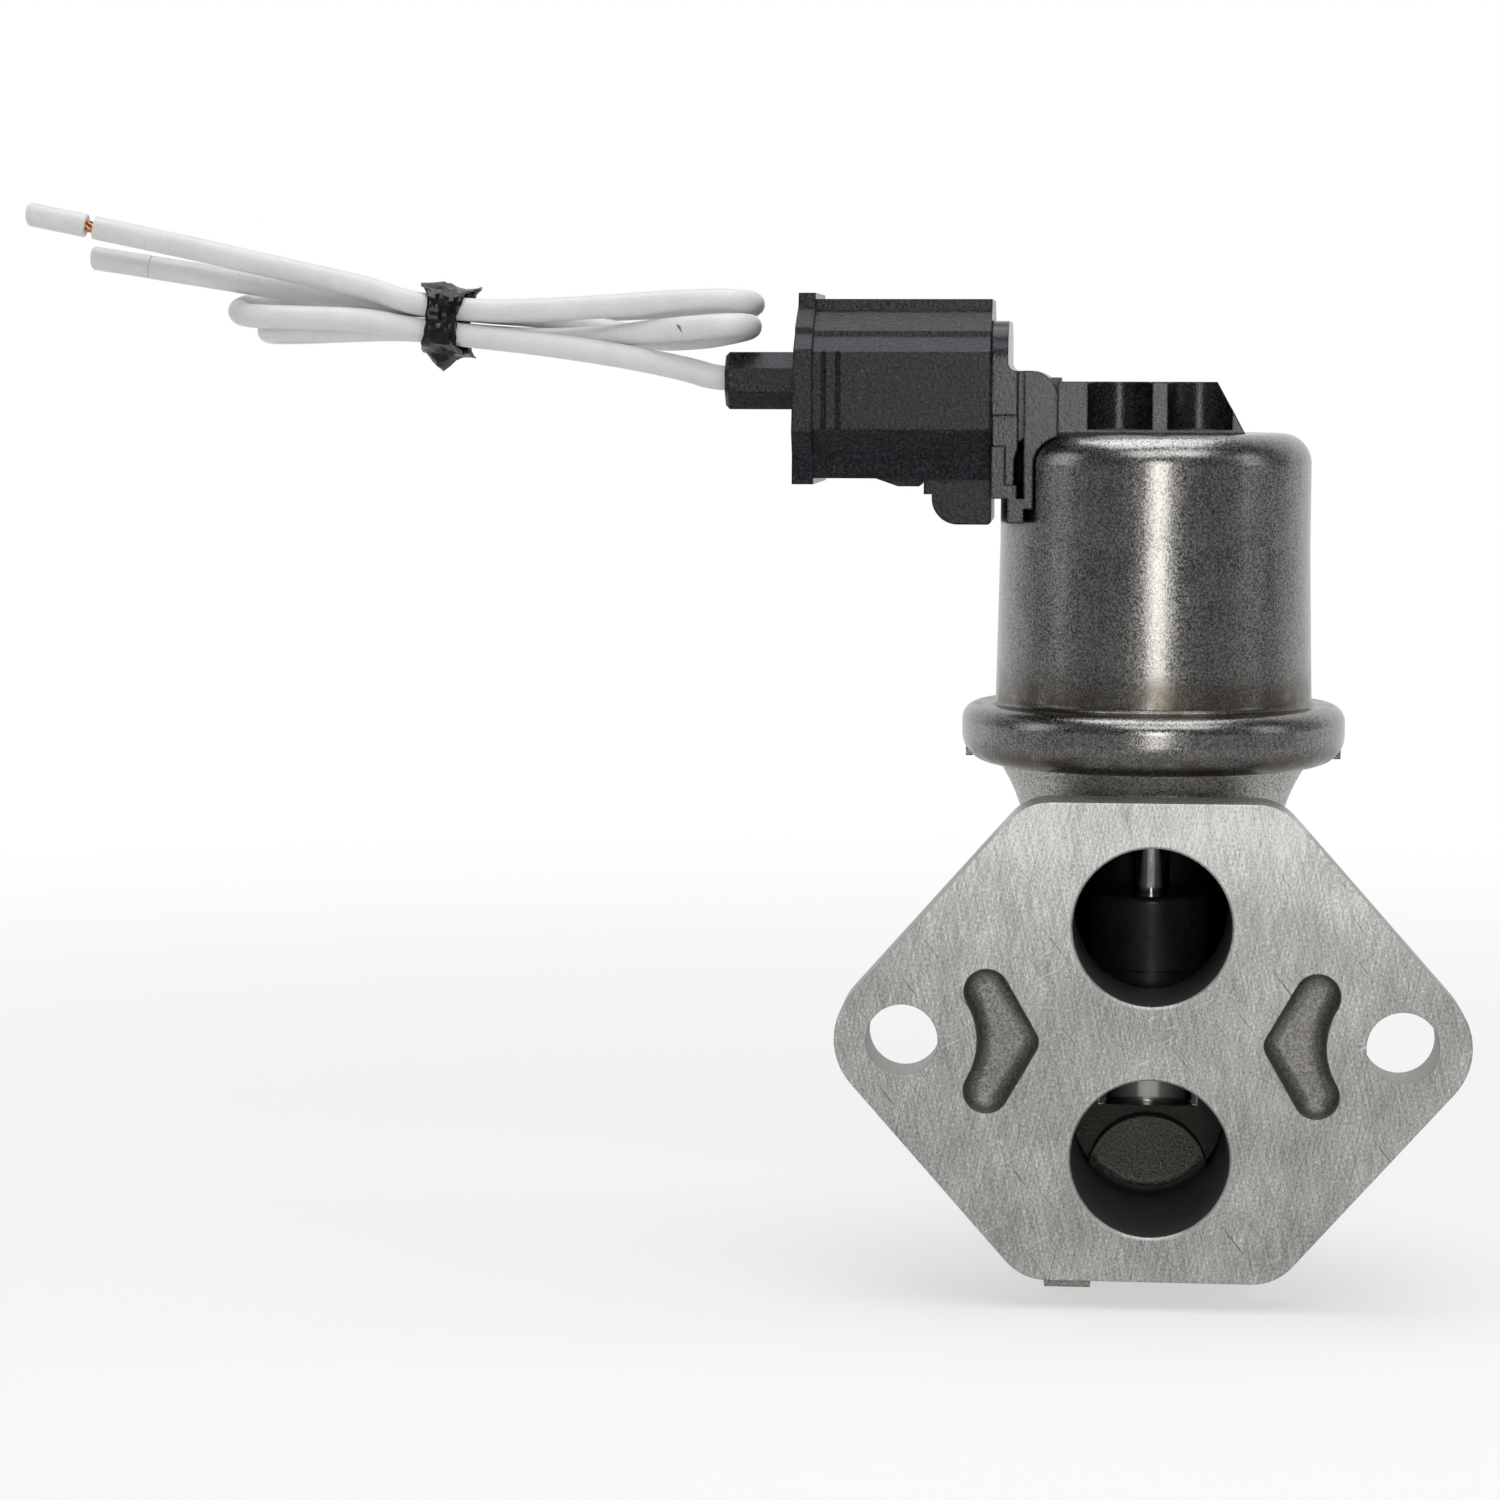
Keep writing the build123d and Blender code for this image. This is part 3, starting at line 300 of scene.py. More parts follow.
@dataclass(frozen=True)
class MachinedCasting(Finish):
    """Die-cast alloy with a milled flange, a bored seat and painted shade inside its ports; in mm."""

    name: str = "machined_casting"
    milled: tuple[tuple[float, Colour], ...] = (
        (0.32, (0.26, 0.26, 0.258)), (0.5, (0.54, 0.54, 0.535)), (0.66, (0.92, 0.92, 0.91)),
    )
    skin: Tones = ((0.19, 0.187, 0.173), (0.48, 0.473, 0.45))
    # Tones of the painted shade inside the ports and chamber.
    port_shade: Tones = ((0.045, 0.044, 0.041), (0.16, 0.157, 0.15))
    port_wall: Colour = (0.42, 0.415, 0.4)
    bore: Colour = (0.52, 0.52, 0.51)
    # Tone of the painted highlight on the neck.
    neck_highlight_tone: Colour = (0.82, 0.81, 0.79)
    # Light tone of nicks and dents, and of the painted highlight on the ports' rims.
    mark_and_rim_highlight: Colour = (0.86, 0.86, 0.85)
    dark_mark: Colour = (0.16, 0.16, 0.155)
    brush: Grain = Grain((0.2, 2.0, 4.5), 4.0, 0.65, turn=14.0)
    cross_brush: Grain = Grain((0.22, 2.0, 6.0), 3.0, 0.6, turn=-12.0)
    pitting: Grain = Grain((0.22, 0.5, 0.3), 3.0, 0.7)
    smudges: Grain = Grain((6.0, 6.0, 8.0), 4.0)
    nicks: Grain = Grain((0.24, 2.0, 4.0), 1.0, turn=63.0)
    dents: Grain = Grain((0.4, 2.0, 1.0), turn=-30.0)
    scores: Grain = Grain((0.26, 2.0, 8.0), 1.0, turn=-38.0)
    hairs: Grain = Grain((0.2, 2.0, 9.0), 1.0, turn=13.0)
    specks: Grain = Grain(even(0.24), 3.0, 0.6)
    milled_parts: tuple[float, ...] = (0.36, 0.32, 0.6, 0.25)
    milled_level: float = -0.323
    # Painted light on the flange face: lighter towards the top.
    top_light: float = 0.13
    top_light_rise: Span = (1.0, 22.0)
    light_slope: float = 0.3
    axis: float = 20.6
    port_height: float = 11.3
    port_radius: float = 7.7
    bore_radius: float = 6.5
    chamber_radius: float = 8.5
    seat_height: float = 3.2
    face_edge: Span = (0.12, 0.03)
    rim_width: Span = (0.35, 0.25)
    rim_depth: Span = (0.26, 0.2)
    port_edge: Span = (0.2, 0.1)
    port_mouth: Span = (0.2, 0.3)
    port_end: Span = (26.0, 25.5)
    chamber_edge: Span = (0.3, 0.1)
    chamber_floor: Span = (-20.3, -19.8)
    bore_edge: Span = (0.12, 0.06)
    bore_top: Span = (3.4, 3.2)
    bore_bottom: Span = (-10.5, -10.4)
    seat_edge: Span = (0.08, 0.04)
    seat_reach: Span = (0.1, 0.0)
    port_shade_front: Span = (23.0, 22.5)
    wall_front: Span = (21.9, 21.7)
    neck_bottom: Span = (19.5, 21.0)
    roughness: float = 0.44

    def zones(self, graph: Graph) -> tuple[Field, ...]:
        """Tells the casting's faces apart by their place.

        Args:
            graph: The finish's tree.

        Returns:
            Masks of the milled face, the ports' rims, the insides painted dark as shade and the bored
            faces.
        """
        x, y, z = graph.axes()
        from_port = (x * x + (abs(z) - self.port_height * MM) ** 2.0) ** 0.5
        from_axis = (x * x + (y - self.axis * MM) ** 2.0) ** 0.5
        rim = from_port.fade_mm(*self.rim_width, self.port_radius)
        front = y.fade_mm(*self.face_edge).over(rim * y.fade_mm(*self.rim_depth))
        in_port = from_port.fade_mm(*self.port_edge, self.port_radius)
        in_port = in_port * y.fade_mm(*self.port_mouth) * y.fade_mm(*self.port_end)
        in_bore = from_axis.fade_mm(*self.chamber_edge, self.chamber_radius)
        wall = abs(from_axis - self.bore_radius * MM).fade_mm(*self.bore_edge)
        wall = wall * z.fade_mm(*self.bore_top) * z.fade_mm(*self.bore_bottom)
        seat = abs(z - self.seat_height * MM).fade_mm(*self.seat_edge)
        seat = seat * from_axis.fade_mm(*self.seat_reach, self.chamber_radius)
        deep = in_port.over(in_bore * z.fade_mm(*self.chamber_floor))
        return front, rim, deep, wall.over(seat)

    def milled_face(self, graph: Graph, rim: Field) -> tuple[Field, Field, Field]:
        """The flange's brushed and scratched face, painted lighter towards the top as light.

        Args:
            graph: The finish's tree.
            rim: Mask of the ports' rims.

        Returns:
            Its colour, tone and relief.
        """
        _, _, z = graph.axes()
        kinds = (self.brush, self.cross_brush, self.pitting, self.smudges)
        brushed, crossed, pitted, smudge = (graph.grain(kind) for kind in kinds)
        nick = graph.grain(self.nicks).fade(0.69, 0.74)
        dent = graph.grain(self.dents).fade(0.7, 0.76)
        hair = graph.grain(self.hairs).fade(0.67, 0.72)
        score = graph.grain(self.scores).fade(0.68, 0.73) * smudge.fade(0.4, 0.55)
        score = score.over(hair * 0.55)
        # Painted light: the face's tone rises towards the top.
        tone = z.fade_mm(*self.top_light_rise) * self.top_light + z * self.light_slope
        for part, weight in zip((brushed, crossed, pitted, smudge), self.milled_parts):
            tone = tone + part * weight
        tone = tone + self.milled_level
        # Nicks and dents lighter, and the ports' rims painted brighter as a highlight.
        bright = (nick * 0.5).over(dent * 0.7).over(rim * 0.25)
        colour = graph.add("ValToRGB", {"stops": self.milled}, {"Fac": tone})
        colour = graph.blend(bright, colour, self.mark_and_rim_highlight)
        colour = graph.blend(score * 0.75, colour, self.dark_mark)
        return colour, tone, brushed * 0.5 + pitted * 0.5 + dent * 0.3 - score * 0.6

    def paint(self, graph: Graph) -> dict:
        """Sockets of the casting's surface.

        Args:
            graph: The finish's tree.

        Returns:
            The sockets.
        """
        _, y, z = graph.axes()
        front, rim, deep, bored = self.zones(graph)
        milled, tone, fine = self.milled_face(graph, rim)
        speck = graph.grain(self.specks)
        cast = graph.blend(speck.fade(0.3, 0.78), *self.skin)
        # Painted highlight: the neck above the flange is lightened in specks.
        neck = z.fade_mm(*self.neck_bottom) * speck.fade(0.3, 0.7) * 0.8
        cast = graph.blend(neck, cast, self.neck_highlight_tone)
        # Painted shade: ports and chamber darkened inside, flecked only near the mouth; walls short
        # of the far end take a lighter tone.
        port_shade = graph.blend(speck.fade(0.35, 0.75) * y.fade_mm(*self.port_shade_front), *self.port_shade)
        port_shade = graph.blend(y.fade_mm(*self.wall_front) * 0.7, port_shade, self.port_wall)
        colour = graph.blend(front, graph.blend(deep, cast, port_shade), milled)
        rest = 1.0 - front
        rough = self.roughness + front * (tone * 0.2 - 0.02) - bored * 0.3
        relief = graph.bump(fine * front, 0.02, graph.soft_edge(0.15))
        return {
            "Base Color": graph.blend(bored, colour, self.bore),
            "Metallic": 1.0,
            "Roughness": rough + (speck - 0.5) * rest * 0.25,
            "Normal": graph.bump(speck * rest * (1.0 - bored), 0.07, relief),
        }


@dataclass(frozen=True)
class DrawnSteel(Finish):
    """Deep-drawn sheet steel with a sandy dull skin and brown stains by the crimp; in mm."""

    name: str = "drawn_can_steel"
    tones: Tones = ((0.1, 0.1, 0.101), (0.37, 0.365, 0.353))
    stain: Colour = (0.085, 0.068, 0.05)
    scuffed: Colour = (0.13, 0.128, 0.126)
    sand: Grain = Grain((0.2, 0.2, 0.22), 3.0, 0.7)
    draw_lines: Grain = Grain((0.9, 0.9, 9.0), 3.0)
    mottling: Grain = Grain((3.0, 3.0, 3.6), 4.0, 0.6)
    scuffs: Grain = Grain((0.4, 0.4, 2.0), turn=34.0)
    foot_top: Span = (36.5, 32.5)
    foot_bottom: Span = (31.2, 31.6)
    lip_stain: Span = (28.2, 26.6)
    roughness: float = 0.17

    def paint(self, graph: Graph) -> dict:
        """Sockets of the steel's surface.

        Args:
            graph: The finish's tree.

        Returns:
            The sockets.
        """
        _, _, z = graph.axes()
        kinds = (self.sand, self.draw_lines, self.mottling)
        sandy, drawn, mottle = (graph.grain(kind) for kind in kinds)
        scuff = graph.grain(self.scuffs).fade(0.72, 0.78)
        tone = (sandy + drawn * 0.1 + mottle * 0.12 - 0.1).fade(0.34, 0.68)
        colour = graph.blend(scuff * 0.35, graph.blend(tone, *self.tones), self.scuffed)
        foot = z.fade_mm(*self.foot_top) * z.fade_mm(*self.foot_bottom)
        brown = foot.over(z.fade_mm(*self.lip_stain)) * mottle.fade(0.25, 0.6)
        return {
            "Base Color": graph.blend(brown * 0.8, colour, self.stain),
            "Metallic": 1.0,
            "Roughness": self.roughness + tone * 0.14 + brown * 0.08,
            "Normal": graph.bump(sandy + mottle * 0.3, 0.01, graph.soft_edge(0.15)),
        }


@dataclass(frozen=True)
class TurnedMetal(Finish):
    """Turned, ground or plated metal with fine rings round the part's axis; in mm."""

    tones: Tones
    roughness: float
    ring: float = 0.08
    depth: float = 0.003

    def paint(self, graph: Graph) -> dict:
        """Sockets of the metal's surface.

        Args:
            graph: The finish's tree.

        Returns:
            The sockets.
        """
        rings = graph.grain(Grain((3.0, 3.0, self.ring)))
        stain = graph.grain(Grain(even(2.0), 3.0))
        tone = (rings * 0.5 + stain * 0.6 - 0.05).fade(0.3, 0.7)
        return {
            "Base Color": graph.blend(tone, *self.tones),
            "Metallic": 1.0,
            "Roughness": self.roughness + (stain - 0.5) * 0.15,
            "Normal": graph.bump(rings, self.depth, graph.soft_edge(0.08)),
        }


@dataclass(frozen=True)
class TinWithShadedBend(Finish):
    """Tin plate, with the blade's bend painted black as shade where it shows in a slot."""

    name: str = "skinned_tin"
    tones: Tones = ((0.36, 0.356, 0.345), (0.5, 0.495, 0.48))
    # Black painted over the bend as shade.
    skin: Colour = (0.012, 0.012, 0.015)
    bend: Span = (-10.8, -10.5)

    def paint(self, graph: Graph) -> dict:
        """Sockets of the blade's surface.

        Args:
            graph: The finish's tree.

        Returns:
            The sockets.
        """
        x, _, _ = graph.axes()
        stain = graph.grain(Grain(even(1.2), 3.0))
        # Painted shade: past this place the bend turns black and not metal.
        shaded_bend = x.fade_mm(*self.bend)
        tin = graph.blend(stain.fade(0.3, 0.7), *self.tones)
        return {
            "Base Color": graph.blend(shaded_bend, tin, self.skin),
            "Metallic": 1.0 - shaded_bend,
            "Roughness": 0.42 - shaded_bend * 0.08,
            "Normal": graph.bump(stain, 0.01, graph.soft_edge(0.08)),
        }


@dataclass(frozen=True)
class WoundCopper(Finish):
    """Enamelled wire laid in close turns."""

    name: str = "wound_copper"
    tones: Tones = ((0.22, 0.07, 0.025), (0.62, 0.26, 0.11))
    pitch: float = 0.35
    bands_per_unit: float = 20.0 / math.pi

    def paint(self, graph: Graph) -> dict:
        """Sockets of the winding's surface.

        Args:
            graph: The finish's tree.

        Returns:
            The sockets.
        """
        unit = graph.grid((1.0, 1.0, self.pitch * self.bands_per_unit))
        sockets = {"Vector": unit, "Scale": 1.0, "Distortion": 0.4}
        turns = graph.add("TexWave", {"bands_direction": "Z"}, sockets)
        return {
            "Base Color": graph.blend(turns, *self.tones),
            "Metallic": 1.0,
            "Roughness": 0.3 - turns * 0.08,
            "Normal": graph.bump(turns, 0.1),
        }


@dataclass(frozen=True)
class Moulded(Finish):
    """Moulded plastic or rubber with a spark-grain skin, and dust in places."""

    tones: Tones
    roughness: float
    grain: float = 0.3
    depth: float = 0.03
    dust: float = 0.0
    edge: float = 0.12
    gloss: float = 0.25
    glint: Colour = (0.9, 0.92, 1.0)
    dust_tone: Colour = (0.42, 0.41, 0.39)
    mote_spacing: float = 1.1

    def paint(self, graph: Graph) -> dict:
        """Sockets of the moulding's surface.

        Args:
            graph: The finish's tree.

        Returns:
            The sockets.
        """
        spark = graph.grain(Grain(even(self.grain), 3.0, 0.6))
        cloud = graph.grain(Grain(even(4.0), 3.0))
        tone = (spark + cloud * 0.15 - 0.08).fade(0.35, 0.72)
        motes = graph.pits(self.mote_spacing).fade(0.16, 0.07)
        dusty = motes * cloud.fade(0.45, 0.6) * self.dust
        return {
            "Base Color": graph.blend(dusty, graph.blend(tone, *self.tones), self.dust_tone),
            "Roughness": self.roughness + (spark - 0.5) * 0.2 + (cloud - 0.5) * 0.12,
            "Normal": graph.bump(spark, self.depth, graph.soft_edge(self.edge)),
            "Specular IOR Level": self.gloss,
            "Specular Tint": self.glint,
        }


@dataclass(frozen=True)
class Insulation(Finish):
    """Extruded white wire jacket, a little dirty from handling, with one dark tick."""

    name: str = "wire_jacket"
    tones: Tones = ((0.62, 0.618, 0.622), (0.69, 0.688, 0.692))
    grime: Colour = (0.2, 0.18, 0.15)
    grime_spacing: float = 1.5
    tick: Colour = (0.05, 0.047, 0.042)
    tick_x: float = -47.4
    tick_z: float = 68.9
    tick_front: Span = (15.5, 15.0)
    tick_lean: float = 35.0
    tick_slenderness: float = 4.0
    tick_reach: Span = (0.6, 0.4)
    tick_rag: float = 0.8

    def paint(self, graph: Graph) -> dict:
        """Sockets of the jacket's surface.

        Args:
            graph: The finish's tree.

        Returns:
            The sockets.
        """
        cloud = graph.grain(Grain(even(3.0), 4.0, 0.6))
        fine = graph.grain(Grain((0.5, 0.25, 0.25)))
        colour = graph.blend((cloud * 0.7 + fine * 0.4 - 0.05).fade(0.3, 0.7), *self.tones)
        specks = graph.pits(self.grime_spacing).fade(0.13, 0.06) * cloud.fade(0.5, 0.62)
        colour = graph.blend(specks * 0.6, colour, self.grime)
        x, y, z = graph.axes()
        lean = math.radians(self.tick_lean)
        right, up = x - self.tick_x * MM, z - self.tick_z * MM
        across = (right * math.cos(lean) + up * math.sin(lean)) * self.tick_slenderness
        along = up * math.cos(lean) - right * math.sin(lean)
        spread = (across * across + along * along) ** 0.5 + (fine - 0.5) * self.tick_rag * MM
        tick = spread.fade_mm(*self.tick_reach) * y.fade_mm(*self.tick_front)
        return {
            "Base Color": graph.blend(tick * 0.85, colour, self.tick),
            "Roughness": 0.4 + (cloud - 0.5) * 0.2,
            "Normal": graph.bump(fine * 0.4 + cloud * 0.6, 0.02),
        }


@dataclass(frozen=True)
class ShinyFilm(Finish):
    """Thin black plastic film, creased where it was twisted."""

    name: str = "tie_film"
    tones: Tones = ((0.004, 0.004, 0.0045), (0.012, 0.012, 0.013))
    gloss: float = 0.3

    def paint(self, graph: Graph) -> dict:
        """Sockets of the film's surface.

        Args:
            graph: The finish's tree.

        Returns:
            The sockets.
        """
        crease = graph.grain(Grain((0.5, 1.6, 1.6), 3.0, 0.6))
        return {
            "Base Color": graph.blend(crease.fade(0.3, 0.7), *self.tones),
            "Roughness": 0.1 + crease * 0.12,
            "Normal": graph.bump(crease, 0.06),
            "Specular IOR Level": self.gloss,
        }


def make_piece(
    name: str, data: Union[Mesh, Curve], finishes: Sequence[Material], replaced: str
) -> Object:
    """Puts a new piece on the fixed body, in place of a CAD node.

    Args:
        name: The piece's name.
        data: Its mesh or curve, in the row frame.
        finishes: Its materials, in order.
        replaced: The CAD node that it stands for.

    Returns:
        The piece.
    """
    data.name = name
    piece = bpy.data.objects.new(name, data)
    bpy.context.scene.collection.objects.link(piece)
    for finish in finishes:
        data.materials.append(finish)
    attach(piece, FIXED_BODY)
    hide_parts(replaced)
    log.info("%s stands for %s", name, replaced)
    return piece


def mesh_from(shape: bmesh.types.BMesh, sharp: float = 38.0) -> Mesh:
    """Turns a bmesh into a mesh, smooth but for its sharp edges.

    Args:
        shape: The bmesh, which is freed.
        sharp: Angle in degrees from which an edge is sharp.

    Returns:
        The mesh.
    """
    bmesh.ops.recalc_face_normals(shape, faces=shape.faces)
    mesh = bpy.data.meshes.new("piece")
    shape.to_mesh(mesh)
    shape.free()
    mesh.shade_smooth()
    mesh.set_sharp_from_angle(angle=math.radians(sharp))
    return mesh


def skin_rings(shape: bmesh.types.BMesh, rings: Sequence[list]) -> list[bmesh.types.BMFace]:
    """Joins closed rings of points into a capped tube.

    Args:
        shape: The bmesh that the points are in.
        rings: The rings' points, from end to end.

    Returns:
        The side faces, ring by ring, and then the two caps.
    """
    faces = []
    for ring, following in zip(rings, rings[1:]):
        for side, point in enumerate(ring):
            after = (side + 1) % len(ring)
            corners = (point, ring[after], following[after], following[side])
            faces.append(shape.faces.new(corners))
    return faces + [shape.faces.new(rings[0]), shape.faces.new(rings[-1])]


def round_angles(count: int) -> list[float]:
    """Angles of points spread evenly round a circle."""
    return [math.tau * step / count for step in range(count)]


def on_circle(angle: float) -> Vector:
    """Unit vector at an angle in the XY plane."""
    return Vector((math.cos(angle), math.sin(angle), 0.0))


@dataclass
class FilmTie:
    """Crumpled film round the hank, wider above and below, with pinched corners; in mm."""

    film: Material
    middle: Vector
    along: Vector
    half_width: float = 3.95
    half_height: float = 2.72
    half_length: float = 1.75
    waist: float = 0.9
    flare: float = 0.42
    squareness: float = 4.0
    columns: int = 52
    rows: int = 9
    clearance: float = 0.05
    lip_lift: float = 0.18
    crumple_scale: Point = (2.4, 2.4, 0.9)
    crumples: tuple[Span, ...] = ((0.5, 1.9), (0.4, 4.3))
    rag: float = 0.35
    rag_scale: float = 3.1
    rag_start: float = 7.0
    thickness: float = 0.09
    crease_angle: float = 16.0
    pinches: tuple[tuple[float, ...], ...] = (
        (-92.0, -0.1, 2.0, 17.0, 0.55, 0.0),
        (98.0, -0.25, 0.75, 24.0, 0.5, 0.0),
        (100.0, -1.0, 0.1, 30.0, 0.5, -0.75),
        (80.0, 1.0, 0.4, 20.0, 0.6, 0.75),
        (-68.0, 1.0, 0.4, 18.0, 0.6, 0.6),
    )

    def shift(self, angle: float, share: float) -> tuple[float, float]:
        """How far a point of the film stands off the wrap, and where along it the point is.

        Args:
            angle: The point's angle round the hank, in radians.
            share: Its place along the film, from -1 to 1.

        Returns:
            The lift and the length, in mm.
        """
        around = on_circle(angle)
        seat = Vector(part * scale for part, scale in zip((*around.xy, share), self.crumple_scale))
        lift = self.clearance + self.lip_lift * share * share
        lift += sum(height * abs(noise.noise(seat * fine)) for height, fine in self.crumples)
        edge = Vector((*around.xy * self.rag_scale, self.rag_start + share))
        length = share * self.half_length * (self.waist + self.flare * around.y * around.y)
        length += self.rag * noise.noise(edge) * abs(share)
        for turn, place, height, width, spread, pull in self.pinches:
            gap = math.remainder(math.degrees(angle) - turn, 360.0) / width
            off = (share - place) / spread
            peak = math.exp(-gap * gap) * math.exp(-off * off)
            lift += height * peak
            length += pull * peak
        return lift, length

    def mesh(self) -> Mesh:
        """Open sleeve of film.

        Returns:
            The mesh.
        """
        side = Vector((0.0, 1.0, 0.0))
        up = self.along.cross(side)
        shape = bmesh.new()
        grid = []
        for angle in round_angles(self.columns):
            out = on_circle(angle)
            corner = sum(abs(part) ** self.squareness for part in out.xy) ** (-1 / self.squareness)
            base = Vector((out.x * self.half_width, out.y * self.half_height, 0.0)) * corner
            strip = []
            for row in range(self.rows):
                lift, length = self.shift(angle, 2.0 * row / (self.rows - 1) - 1.0)
                spot = base + out * lift
                offset = self.along * length + side * spot.x + up * spot.y
                strip.append(shape.verts.new(self.middle + offset * MM))
            grid.append(strip)
        for strip, following in zip(grid, grid[1:] + grid[:1]):
            for row in range(self.rows - 1):
                shape.faces.new(strip[row : row + 2] + following[row : row + 2][::-1])
        return mesh_from(shape, self.crease_angle)

    def build(self) -> Object:
        """Makes the tie, with the film's thickness.

        Returns:
            The piece.
        """
        tie = make_piece("tie", self.mesh(), [self.film], "twist_tie")
        shell = tie.modifiers.new("film_thickness", "SOLIDIFY")
        shell.thickness = self.thickness * MM
        shell.offset = 1.0
        return tie


@dataclass
class WireRun:
    """One wire: its route from the tower and bared gap in mm, its length in metres."""

    name: str
    route: list[Point]
    length: float
    bared: float

    def points(self, tower_end: Vector) -> list[Vector]:
        """Route in the row frame, in metres."""
        return [tower_end + Vector(point) * MM for point in self.route]


@dataclass
class WireHank:
    """Two white wires folded into a hank, their cut ends and the tie round them; in mm."""

    jacket: Material
    copper: Material
    film: Material
    tower_end: Point = (-42.9, 20.6, 63.7)
    tie_offset: Point = (-28.8, 0.0, 6.0)
    tie_half_run: float = 3.6
    tie_drop: float = 0.4
    column_pitch: float = 2.55
    row_pitch: float = 1.275
    thickness: float = 2.4
    bared_gap: float = 0.9
    fine_cut: float = 0.04
    slug_length: float = 6.0
    slug_sides: int = 40
    slug_wave: float = 0.02
    slug_wave_scale: float = 1.7
    cut_lean: float = 0.16
    cut_lean_turn: float = 0.6
    cut_bevel: float = 0.12
    core_radius: float = 0.62
    core_step: int = 7
    strand_radius: float = 0.2
    outer_strands: int = 6
    strand_twist: float = 0.16
    strand_steps: int = 10
    strand_sides: int = 12
    strand_wave: float = 0.06

    def in_tie(self, column: int, row: int, end: int) -> Point:
        """Place of a run at one end of the tie, by its column and row.

        Args:
            column: -1, 0 or 1, from the front to the back.
            row: -1 below, 1 above.
            end: 1 towards the plug, -1 away from it.

        Returns:
            The offset from the tower's end, in mm.
        """
        x, y, z = self.tie_offset
        z += row * self.row_pitch - end * self.tie_drop
        return (x + end * self.tie_half_run, y + column * self.column_pitch, z)

    def runs(self) -> list[WireRun]:
        """The two wires' routes.

        Returns:
            Both runs.
        """
        tie = self.in_tie
        first = [
            (8.4, -3.7, 0.0), (-0.8, -3.7, 0.0), (-3.9, -3.7, 1.1), (-10.3, -3.7, 2.4),
            (-17.4, -3.2, 3.5), tie(-1, -1, 1), tie(-1, -1, -1), (-36.1, -3.3, 6.0),
            (-42.2, -4.4, 6.2), (-46.8, -4.2, 6.3), (-49.8, -1.8, 6.5), (-50.8, 1.6, 7.2),
            (-48.9, 3.9, 7.8), (-43.9, 4.0, 7.9), (-38.0, 3.2, 7.7), tie(1, 1, -1),
            tie(1, 1, 1), (-20.0, 3.7, 6.7), (-11.7, 3.9, 7.3), (-4.5, 3.5, 7.4),
            (-0.2, 2.6, 7.3), (2.2, 0.8, 7.5), (2.5, -2.2, 7.8), (0.2, -4.0, 8.0),
            (-4.7, -3.9, 7.9), (-11.9, -3.3, 7.4), (-18.5, -2.9, 7.0), tie(-1, 1, 1),
            tie(-1, 1, -1), (-36.4, -2.5, 9.2), (-42.5, -2.5, 10.5), (-48.7, -2.4, 11.9),
            (-56.4, -2.4, 13.6), (-64.7, -2.3, 15.3),
        ]
        second = [
            (8.4, 3.7, 0.0), (-0.8, 3.7, 0.0), (-4.5, 3.8, 1.2), (-11.2, 3.9, 2.4),
            (-18.4, 3.3, 3.5), tie(1, -1, 1), tie(1, -1, -1), (-37.6, 3.7, 5.1),
            (-42.8, 5.0, 4.9), (-46.1, 5.0, 4.8), (-47.9, 3.0, 4.8), (-47.3, -0.2, 5.0),
            (-44.7, -2.2, 5.1), (-41.2, -1.8, 5.1), (-36.6, -0.7, 5.2), tie(0, -1, -1),
            tie(0, -1, 1), (-18.9, -0.3, 4.0), (-12.1, -1.3, 4.3), (-6.7, -4.0, 5.0),
            (-2.8, -6.0, 5.3), (0.4, -6.6, 5.5), (2.3, -5.0, 5.5), (2.3, -2.3, 5.3),
            (0.1, -0.5, 4.8), (-2.8, 0.2, 4.3), (-7.8, 1.1, 4.1), (-13.5, 1.7, 5.1),
            (-19.0, 0.9, 6.5), tie(0, 1, 1), tie(0, 1, -1), (-36.9, 0.4, 7.9),
            (-43.2, 0.5, 8.8), (-49.4, 0.6, 9.8), (-59.6, 0.6, 11.4),
        ]
        return [
            WireRun("wire_1", first, 0.189, self.bared_gap),
            WireRun("wire_2", second, 0.178, self.fine_cut),
        ]

    def curve(self, points: Sequence[Vector]) -> Curve:
        """Round wire along a NURBS spline.

        Args:
            points: The spline's control points.

        Returns:
            The curve.
        """
        curve = bpy.data.curves.new("wire", "CURVE")
        curve.dimensions = "3D"
        spline = curve.splines.new("NURBS")
        spline.points.add(len(points) - 1)
        for control, point in zip(spline.points, points):
            control.co = (*point, 1.0)
        spline.order_u = 3
        spline.use_endpoint_u = True
        spline.resolution_u = 10
        curve.bevel_depth = self.thickness / 2 * MM
        curve.bevel_resolution = 6
        curve.use_fill_caps = True
        return curve

    def slug(self, base: Matrix) -> Mesh:
        """Sleeve of insulation on the core, with a far cut that isn't square.

        Args:
            base: Frame at its start, with Z along it.

        Returns:
            The mesh.
        """
        radius, inner = self.thickness / 2, self.core_radius
        bevel, length = self.cut_bevel, self.slug_length
        profile = (
            (inner, 0.0), (radius - bevel, 0.0), (radius, 0.1), (radius * 0.985, length * 0.35),
            (radius, length * 0.7), (radius, length - bevel), (radius - bevel, length),
            (inner, length), (inner - 0.02, length - 0.2), (0.08, length - 0.14),
        )
        last = profile[-1][1]
        shape = bmesh.new()
        rings = []
        for reach, along in profile:
            ring = []
            for angle in round_angles(self.slug_sides):
                out = on_circle(angle)
                seat = Vector((*out.xy, along)) * self.slug_wave_scale
                wave = 1.0 + self.slug_wave * noise.noise(seat)
                lean = self.cut_lean * math.cos(angle - self.cut_lean_turn) * reach * along / last
                spot = out * reach * wave + Vector((0.0, 0.0, along + lean))
                ring.append(shape.verts.new(base @ (spot * MM)))
            rings.append(ring)
        for index, face in enumerate(skin_rings(shape, rings)):
            face.material_index = int(index // self.slug_sides >= self.core_step)
        return mesh_from(shape)

